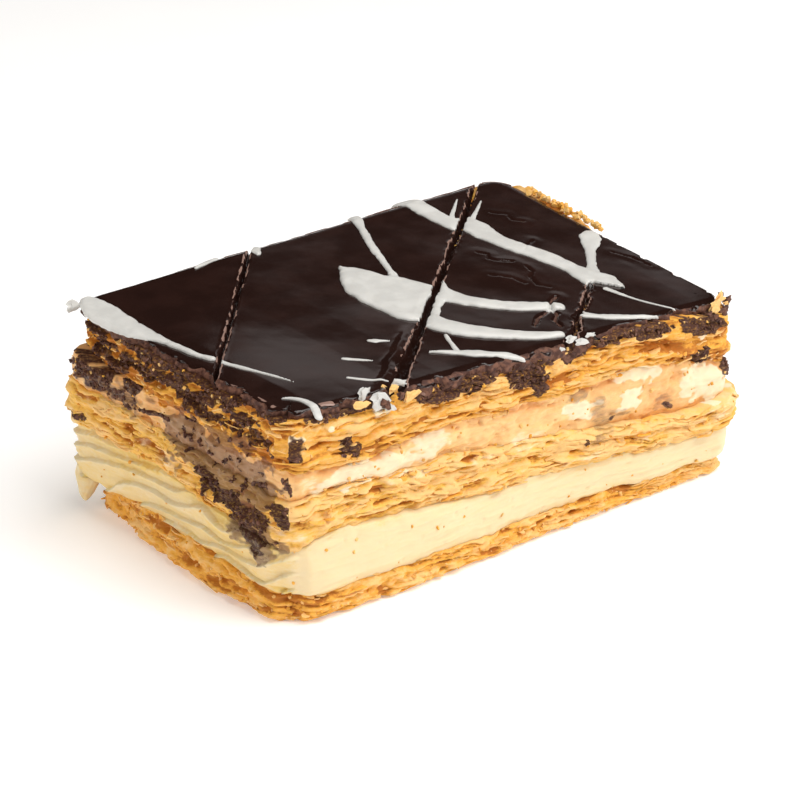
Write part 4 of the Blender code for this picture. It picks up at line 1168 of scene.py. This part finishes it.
def chocolate_material(name):
    """Finish of the glaze: dark satin sheet, matte and crumbly where it is cut or broken, with the chalky lip
    colour also painted on as highlights along the rim near A.
    """
    colours = bpy.context.scene.pastry_colours

    def build(tree):
        grain = uneven(tree, 130.0, 1.0, 0.1, 0.16)
        grit = uneven(tree, 900.0, 1.0, 0.6, 0.85)
        sheet = mixed(tree, grain.outputs["Mask"], (*colours.chocolate, 1.0),
                      tuple(value * 1.35 for value in colours.chocolate) + (1.0,))
        crumb = mixed(tree, grit.outputs["Mask"], (*colours.cocoa, 1.0), (*colours.broken, 1.0))
        cut = eased(tree, mask(tree, "broken"), 0.25, 0.7)
        # The lip mask carries real chalky lips and, on the glaze rim near A, painted highlights
        chalk_and_sheen = summed(tree, mask(tree, "lip"), summed(tree, grit.outputs["Height"], 0.35, "MULTIPLY"))
        rough = add(tree, "ShaderNodeMix", {0: cut, 2: grain.outputs["Roughness"],
                                            3: grit.outputs["Roughness"]})
        height = summed(tree, grit.outputs["Height"], cut, "MULTIPLY")
        height = summed(tree, height, summed(tree, grain.outputs["Height"], 0.08, "MULTIPLY"))
        return {
            "Base Color": mixed(tree, eased(tree, chalk_and_sheen, 0.55, 0.85), mixed(tree, cut, sheet, crumb),
                                (*colours.lip, 1.0)),
            "Roughness": rough.outputs[0], "Normal": bumped(tree, height, 0.6, 0.0004),
            "Specular IOR Level": 0.5,
        }
    return finished(name, build)


def icing_material(name):
    """Finish of set white icing: satin and faintly streaked."""
    icing = bpy.context.scene.pastry_colours.icing

    def build(tree):
        grain = uneven(tree, 220.0, 1.0, 0.3, 0.45)
        shade = mixed(tree, grain.outputs["Mask"], tuple(value * 0.9 for value in icing) + (1.0,),
                      (*icing, 1.0))
        return {
            "Base Color": shade, "Roughness": grain.outputs["Roughness"],
            "Normal": bumped(tree, grain.outputs["Height"], 0.2, 0.0005),
            "Specular IOR Level": 0.5, "Subsurface Weight": 0.2, "Subsurface Scale": 0.0015,
            "Subsurface Radius": (1.0, 0.9, 0.8),
        }
    return finished(name, build)


def floor_material(colour):
    """Matte table top with a trace of unevenness."""
    def build(tree):
        grain = uneven(tree, 30.0, 1.0, 0.75, 0.85)
        shade = mixed(tree, grain.outputs["Mask"], tuple(value * 0.995 for value in colour) + (1.0,),
                      (*colour, 1.0))
        return {
            "Base Color": shade, "Roughness": grain.outputs["Roughness"], "Specular IOR Level": 0.2,
            "Emission Color": shade, "Emission Strength": 0.2,
        }
    return finished("Pale Floor", build)


class PastryShape(bpy.types.PropertyGroup):
    """Sizes a maker would change."""

    columns: bpy.props.IntProperty(name="Side Columns", description="Columns of the cut side relief",
                                   default=1040, min=200, max=1600)
    flakes: bpy.props.IntProperty(name="Flakes", description="Broken leaves standing out of the cut sides",
                                  default=1100, min=0, max=3000)
    flake_length: bpy.props.FloatProperty(name="Flake Length", description="Longest broken leaf",
                                          default=0.0055, unit="LENGTH", subtype="DISTANCE")
    crumbs: bpy.props.IntProperty(name="Pastry Crumbs", description="Crumbs held on the cut sides",
                                  default=1500, min=0, max=4000)
    chocolate_crumbs: bpy.props.IntProperty(name="Chocolate Crumbs",
                                            description="Broken glaze grains under the rim",
                                            default=1500, min=0, max=4000)
    seed: bpy.props.IntProperty(name="Seed", description="Start of the random scatter", default=7)


def colour_property(name, description, default):
    """A colour a maker would change."""
    return bpy.props.FloatVectorProperty(name=name, description=description, default=default, size=3,
                                         subtype="COLOR", min=0.0, max=1.0)


class PastryColours(bpy.types.PropertyGroup):
    """Colours of the finishes."""

    # The palest and darkest colours also carry painted light: straw and the bright creams are painted
    # highlights where leaves and lumps stand out, crust and the deep creams are painted shade in hollows,
    # gaps and pits and on shaded sides
    straw: colour_property("Straw", "Palest baked leaves", (0.84, 0.51, 0.19))
    gold: colour_property("Gold", "Baked leaves", (0.80, 0.39, 0.055))
    crust_and_shade: colour_property("Crust And Shade", "Darkest baked hollows", (0.48, 0.165, 0.02))
    custard_deep: colour_property("Custard Deep", "Custard in its hollows", (0.79, 0.54, 0.155))
    custard: colour_property("Custard", "Custard where it stands out", (0.79, 0.635, 0.38))
    cream: colour_property("Cream", "Pale cream", (0.87, 0.70, 0.47))
    cream_deep: colour_property("Cream Deep", "Upper cream soaked into the pastry", (0.74, 0.35, 0.115))
    chocolate: colour_property("Chocolate", "Glaze sheet", (0.016, 0.0062, 0.0045))
    cocoa: colour_property("Cocoa", "Broken chocolate and its crumbs", (0.062, 0.021, 0.013))
    broken: colour_property("Broken Chocolate", "Palest grains of broken chocolate", (0.18, 0.08, 0.05))
    paste: colour_property("Paste", "Cream and chocolate smeared together", (0.16, 0.074, 0.048))
    # The cut lip colour is also painted on the glaze rim near A as painted highlights
    lip: colour_property("Cut Lip", "Chalky lips beside the score lines", (0.29, 0.18, 0.145))
    icing: colour_property("Icing", "White icing", (0.64, 0.63, 0.60))


class PastryStage(bpy.types.PropertyGroup):
    """Camera and studio."""

    azimuth: bpy.props.FloatProperty(name="Azimuth", description="Turn of the camera round the slice",
                                     default=math.radians(-40.0), subtype="ANGLE", unit="ROTATION")
    elevation: bpy.props.FloatProperty(name="Elevation", description="Height angle of the camera",
                                       default=math.radians(22.8), subtype="ANGLE", unit="ROTATION")
    distance: bpy.props.FloatProperty(name="Distance", description="Camera to its aim", default=0.5105,
                                      unit="LENGTH", subtype="DISTANCE")
    aim: bpy.props.FloatVectorProperty(name="Aim", description="Place the camera looks at",
                                       default=(-0.00403, -0.00255, 0.0215), size=3, subtype="TRANSLATION",
                                       unit="LENGTH")
    lens: bpy.props.FloatProperty(name="Lens", description="Focal length in mm", default=112.5)
    floor: colour_property("Floor", "Table top", (0.93, 0.925, 0.92))


class PASTRY_OT_sheets(bpy.types.Operator):
    """Add the three flaky pastry sheets"""

    bl_idname = "pastry.add_sheets"
    bl_label = "Pastry Sheets"

    def execute(self, context):
        colours = context.scene.pastry_colours
        finishes = {
            "bottom_sheet": (colours.straw, colours.gold, colours.crust_and_shade),
            "middle_sheet": (tuple(a * b for a, b in zip(colours.straw, (1.02, 1.05, 1.1))),
                             tuple(a * b for a, b in zip(colours.gold, (1.06, 1.25, 1.7))), colours.crust_and_shade),
            "top_sheet": (colours.straw, colours.gold, colours.crust_and_shade),
        }
        for name, (straw, gold, crust_and_shade) in finishes.items():
            piece = side_piece(name, context.scene.pastry_shape.columns)
            finish_piece(piece, baked_material("Baked " + name.split("_")[0].title(), straw, gold, crust_and_shade),
                         LAYERS[name]["node"])
        return {"FINISHED"}


class PASTRY_OT_creams(bpy.types.Operator):
    """Add the lower custard with its hang and the upper cream"""

    bl_idname = "pastry.add_creams"
    bl_label = "Creams"

    def execute(self, context):
        colours = context.scene.pastry_colours
        custard = side_piece("lower_custard", context.scene.pastry_shape.columns)
        finish_piece(custard, cream_material("Custard", colours.custard_deep, colours.custard),
                     "cream_lower")
        cream = side_piece("upper_cream", context.scene.pastry_shape.columns)
        finish_piece(cream, cream_material("Upper Cream", colours.cream_deep,
                                           tuple(a * b for a, b in zip(colours.straw, (1.02, 1.08, 1.25)))),
                     "cream_upper")
        start_clean()
        bpy.ops.mesh.primitive_uv_sphere_add(segments=72, ring_count=48, radius=1.0, location=(0, 0, 0))
        hang = bpy.context.object
        hang.name = "custard_hang"
        unit = read_places(hang)
        swell = 1.0 + 0.16 * noise(41, unit[:, 0] * 1.6, unit[:, 1] * 1.6, unit[:, 2] * 2.2)
        swell = swell + 0.05 * noise(42, unit[:, 0] * 5, unit[:, 1] * 5, unit[:, 2] * 6)
        taper = 1.0 - 0.28 * ramp(-unit[:, 2], 0.0, 1.0)
        lean = ramp(-unit[:, 2], -0.2, 1.0)
        places = unit * HANG_HALF + HANG_MIDDLE
        places[:, 0] += unit[:, 0] * HANG_HALF[0] * (swell * taper - 1.0) - 0.7 * lean
        places[:, 1] += unit[:, 1] * HANG_HALF[1] * (swell * taper - 1.0) + 0.5 * lean
        places[:, 2] = np.maximum(places[:, 2], HANG_LOWEST)
        write_places(hang, place(places))
        write_mask(hang, "pale", 0.55 + 0.3 * noise(43, unit[:, 0] * 2, unit[:, 1] * 2, unit[:, 2] * 6))
        for name in ("cocoa", "smear", "creamy"):
            write_mask(hang, name, np.zeros(len(unit)))
        selected_only(hang)
        bpy.ops.object.shade_smooth()
        finish_piece(hang, bpy.data.materials["Custard"], None)
        return {"FINISHED"}


class PASTRY_OT_flakes(bpy.types.Operator):
    """Add broken leaves that stand out of the pastry sheets"""

    bl_idname = "pastry.add_flakes"
    bl_label = "Flakes"

    def execute(self, context):
        shape = context.scene.pastry_shape
        colours = context.scene.pastry_colours
        rng = np.random.default_rng(shape.seed)
        spots = []
        masks = {name: [] for name in MARK_NAMES}
        for name, share in (("bottom_sheet", 0.25), ("middle_sheet", 0.36), ("top_sheet", 0.39)):
            places, values = side_spots(bpy.data.objects[name])
            chosen = rng.choice(len(places), int(shape.flakes * share), replace=False)
            chosen = chosen[(values["smear"][chosen] < 0.4) & (values["cocoa"][chosen] < 0.6)]
            out, along = wall_normal(places[chosen])
            for i, index in enumerate(chosen):
                length = shape.flake_length * rng.uniform(0.25, 1.0) ** 1.3
                depth = rng.uniform(0.0008, 0.0021)
                tilt = rng.normal(0.0, 0.22)
                roll = rng.normal(0.0, 0.12)
                up = np.array([0.0, 0.0, 1.0])
                reach = out[i] * math.cos(tilt) + up * math.sin(tilt)
                run = along[i] * math.cos(roll) + up * math.sin(roll)
                stand = np.cross(run, reach)
                stand = stand if stand[2] > 0.0 else -stand
                middle = places[index] - out[i] * depth * rng.uniform(0.15, 0.42)
                middle[2] = max(middle[2], 0.0007)
                spots.append((middle, run * length, reach * depth, stand * rng.uniform(0.00016, 0.0003)))
                masks["pale"].append(rng.uniform(0.38, 0.95))
                masks["cocoa"].append(values["cocoa"][index] * 0.5)
                masks["smear"].append(values["smear"][index] * 0.5)
                masks["creamy"].append(0.0)
        piece = scatter("loose_flakes", [master_flake(300 + 7 * i) for i in range(6)], spots, masks)
        finish_piece(piece, baked_material("Baked Flakes", colours.straw, colours.gold, colours.crust_and_shade),
                     None)
        return {"FINISHED"}


class PASTRY_OT_glaze(bpy.types.Operator):
    """Add the scored chocolate glaze"""

    bl_idname = "pastry.add_glaze"
    bl_label = "Chocolate Glaze"

    def execute(self, context):
        piece = glaze_piece(330, 204)
        finish_piece(piece, chocolate_material("Chocolate Glaze"), "glaze")
        return {"FINISHED"}


class PASTRY_OT_icing(bpy.types.Operator):
    """Add the white icing lines"""

    bl_idname = "pastry.add_icing"
    bl_label = "Icing Lines"

    def execute(self, context):
        piece = icing_piece(500, 320)
        finish_piece(piece, icing_material("White Icing"), None)
        return {"FINISHED"}


class PASTRY_OT_crumbs(bpy.types.Operator):
    """Add pastry crumbs, chocolate crumbs and icing chips"""

    bl_idname = "pastry.add_crumbs"
    bl_label = "Crumbs"

    def execute(self, context):
        shape = context.scene.pastry_shape
        colours = context.scene.pastry_colours
        rng = np.random.default_rng(shape.seed + 1)
        self.pastry(shape, colours, rng)
        self.chocolate(shape, rng)
        self.chips(colours, rng)
        return {"FINISHED"}

    def grain(self, rng, middle, size):
        """A crumb turned any way at a place."""
        turn = np.linalg.qr(rng.normal(size=(3, 3)))[0]
        scale = size * rng.uniform(0.6, 1.2, size=3)
        return (middle, turn[0] * scale[0], turn[1] * scale[1], turn[2] * scale[2])

    def pastry(self, shape, colours, rng):
        """Crumbs on the lip at the back right and on all the cut sides."""
        spots = []
        masks = {name: [] for name in MARK_NAMES}
        for _ in range(70):
            y = rng.uniform(3.0, 27.0)
            x = rng.uniform(57.8, 59.2)
            z = float(meeting(6, x, y)) + rng.uniform(-0.2, 0.7)
            middle = place([(x, y, z)])[0]
            spots.append(self.grain(rng, middle, rng.uniform(0.0008, 0.0018)))
            for key in masks:
                masks[key].append(rng.uniform(0.4, 0.9) if key == "pale" else 0.0)
        for name, share in (("bottom_sheet", 0.34), ("middle_sheet", 0.26), ("top_sheet", 0.2),
                            ("upper_cream", 0.16), ("lower_custard", 0.04)):
            places, values = side_spots(bpy.data.objects[name])
            chosen = rng.choice(len(places), int(shape.crumbs * share), replace=False)
            chosen = chosen[values["smear"][chosen] < 0.6]
            for index in chosen:
                middle = places[index].copy()
                middle[2] = max(middle[2], 0.0004)
                spots.append(self.grain(rng, middle, rng.uniform(0.0003, 0.0009)))
                for key in masks:
                    masks[key].append(rng.uniform(0.3, 0.95) if key == "pale" else 0.0)
        piece = scatter("pastry_crumbs", [master_crumb(500 + 3 * i, 1) for i in range(5)], spots, masks)
        finish_piece(piece, baked_material("Baked Crumbs", colours.straw, colours.gold, colours.crust_and_shade),
                     None)

    def chocolate(self, shape, rng):
        """Broken glaze where the marks are dark."""
        spots = []
        masks = {"broken": [], "lip": []}
        for name, share in (("top_sheet", 0.75), ("upper_cream", 0.15), ("middle_sheet", 0.1)):
            places, values = side_spots(bpy.data.objects[name])
            dark = np.flatnonzero(values["cocoa"] > 0.4)
            if not len(dark):
                continue
            chosen = rng.choice(dark, min(len(dark), int(shape.chocolate_crumbs * share)), replace=False)
            for index in chosen:
                spots.append(self.grain(rng, places[index], rng.uniform(0.0003, 0.0011)))
                masks["broken"].append(rng.uniform(0.7, 1.0))
                masks["lip"].append(rng.uniform(0.0, 0.5))
        piece = scatter("chocolate_crumbs", [master_crumb(600 + 3 * i, 1) for i in range(5)], spots, masks)
        finish_piece(piece, chocolate_material("Chocolate Crumbs"), None)

    def chips(self, colours, rng):
        """Larger chips along the rim."""
        for kind, name in enumerate(("icing_chips", "pastry_chips", "chocolate_lumps")):
            spots = []
            for item, middle, size in CHIPS:
                if item != kind:
                    continue
                lean = rng.normal(0.0, 0.3, size=3)
                along = np.array([1.0, lean[0] * 0.3, lean[1]]) * size[0] * MM
                out = np.array([lean[0] * 0.3, 1.0, lean[2]]) * size[1] * MM
                up = np.array([-lean[1] * 0.5, -lean[2] * 0.5, 1.0]) * size[2] * MM
                spots.append((place([middle])[0], along, up, -out * 0.7))
            count = len(spots)
            masks = {"pale": [0.95] * count, "broken": [0.9] * count, "lip": [0.2] * count}
            masters = [master_crumb(700 + 3 * i + 30 * kind, 2, 1.1) for i in range(4)]
            piece = scatter(name, masters, spots, masks)
            if kind == 2:
                finish_piece(piece, bpy.data.materials["Chocolate Crumbs"], None)
            elif kind:
                material = baked_material("Pale Pastry Chips", colours.straw, colours.straw, colours.gold)
                finish_piece(piece, material, None)
            else:
                finish_piece(piece, bpy.data.materials["White Icing"], None)


class PASTRY_OT_stage(bpy.types.Operator):
    """Add the floor, the soft lights and the camera"""

    bl_idname = "pastry.add_stage"
    bl_label = "Studio"

    def execute(self, context):
        stage = context.scene.pastry_stage
        start_clean()
        bpy.ops.mesh.primitive_plane_add(size=8.0, location=(0, 0, -0.0001))
        floor = context.object
        floor.name = "floor"
        bpy.ops.object.transform_apply(location=True, rotation=False, scale=False)
        floor.data.materials.append(floor_material(stage.floor))
        lights = (
            ("overhead_softbox", (0.25, -0.45, 1.0), (0.0, 0.0, 0.0), 1.1, 1.1, 15.0, (1.0, 0.985, 0.96)),
            ("front_softbox", (0.55, -0.85, 0.35), (0.0, 0.0, 0.02), 0.7, 0.5, 4.0, (1.0, 0.98, 0.95)),
            ("side_softbox", (-0.9, 0.1, 0.4), (0.0, 0.0, 0.02), 0.5, 0.5, 3.8, (1.0, 0.975, 0.945)),
            ("back_softbox", (0.1, 1.3, 1.1), (0.0, 0.0, 0.02), 0.5, 0.5, 1.6, (1.0, 0.98, 0.96)),
            ("gloss_softbox", (1.354, 1.326, 0.684), (0.0, 0.0, 0.043), 0.61, 0.39, 0.27, (1.0, 0.93, 0.91)),
        )
        for name, spot, target, width, height, power, colour in lights:
            bpy.ops.object.light_add(type="AREA", location=spot)
            lamp = context.object
            lamp.name = name
            lamp.data.shape = "RECTANGLE"
            lamp.data.size = width
            lamp.data.size_y = height
            lamp.data.energy = power
            lamp.data.color = colour
            lamp.visible_glossy = name in ("overhead_softbox", "gloss_softbox")
            lamp.rotation_euler = (Vector(target) - Vector(spot)).to_track_quat("-Z", "Y").to_euler()
        world = bpy.data.worlds.new("Soft Studio")
        world.use_nodes = True
        world.node_tree.nodes["Background"].inputs["Color"].default_value = (1.0, 0.99, 0.98, 1.0)
        tree = world.node_tree
        path = add(tree, "ShaderNodeLightPath")
        share = add(tree, "ShaderNodeMapRange", {
            "Value": path.outputs["Is Glossy Ray"], "To Min": 0.14, "To Max": 0.01,
        })
        tree.links.new(share.outputs[0], tree.nodes["Background"].inputs["Strength"])
        context.scene.world = world
        context.scene.view_settings.view_transform = "Standard"
        context.scene.view_settings.look = "None"
        level = math.cos(stage.elevation)
        back = Vector((math.sin(stage.azimuth) * level, -math.cos(stage.azimuth) * level,
                       math.sin(stage.elevation)))
        spot = Vector(stage.aim) + back * stage.distance
        bpy.ops.object.camera_add(location=spot)
        camera = context.object
        camera.name = "photo_camera"
        camera.rotation_euler = (-back).to_track_quat("-Z", "Y").to_euler()
        camera.data.sensor_width = 36.0
        camera.data.lens = stage.lens
        camera.data.dof.use_dof = False
        camera.data.clip_start = 0.01
        context.scene.camera = camera
        return {"FINISHED"}


class PASTRY_PT_panel(bpy.types.Panel):
    """Shows the slice's settings and the buttons that add its pieces"""

    bl_idname = "PASTRY_PT_panel"
    bl_label = "Pastry Slice"
    bl_space_type = "VIEW_3D"
    bl_region_type = "UI"
    bl_category = "Pastry"

    def draw(self, context):
        layout = self.layout
        scene = context.scene
        for settings in (scene.pastry_shape, scene.pastry_colours, scene.pastry_stage):
            box = layout.box()
            for key in settings.__annotations__:
                box.prop(settings, key)
        for operator in OPERATORS:
            layout.operator(operator.bl_idname)


OPERATORS = (PASTRY_OT_sheets, PASTRY_OT_creams, PASTRY_OT_glaze, PASTRY_OT_icing, PASTRY_OT_flakes,
             PASTRY_OT_crumbs, PASTRY_OT_stage)
SETTINGS = (PastryShape, PastryColours, PastryStage)


def register():
    """Make the settings, operators and panel known to Blender."""
    for item in SETTINGS + OPERATORS + (PASTRY_PT_panel,):
        bpy.utils.register_class(item)
    bpy.types.Scene.pastry_shape = bpy.props.PointerProperty(type=PastryShape)
    bpy.types.Scene.pastry_colours = bpy.props.PointerProperty(type=PastryColours)
    bpy.types.Scene.pastry_stage = bpy.props.PointerProperty(type=PastryStage)


def unregister():
    """Take the settings, operators and panel away again."""
    del bpy.types.Scene.pastry_stage
    del bpy.types.Scene.pastry_colours
    del bpy.types.Scene.pastry_shape
    for item in reversed(SETTINGS + OPERATORS + (PASTRY_PT_panel,)):
        bpy.utils.unregister_class(item)


def main():
    """Build the slice and its studio."""
    register()
    bpy.ops.pastry.add_sheets()
    bpy.ops.pastry.add_creams()
    bpy.ops.pastry.add_glaze()
    bpy.ops.pastry.add_icing()
    bpy.ops.pastry.add_flakes()
    bpy.ops.pastry.add_crumbs()
    bpy.ops.pastry.add_stage()


if __name__ == "__main__":
    main()
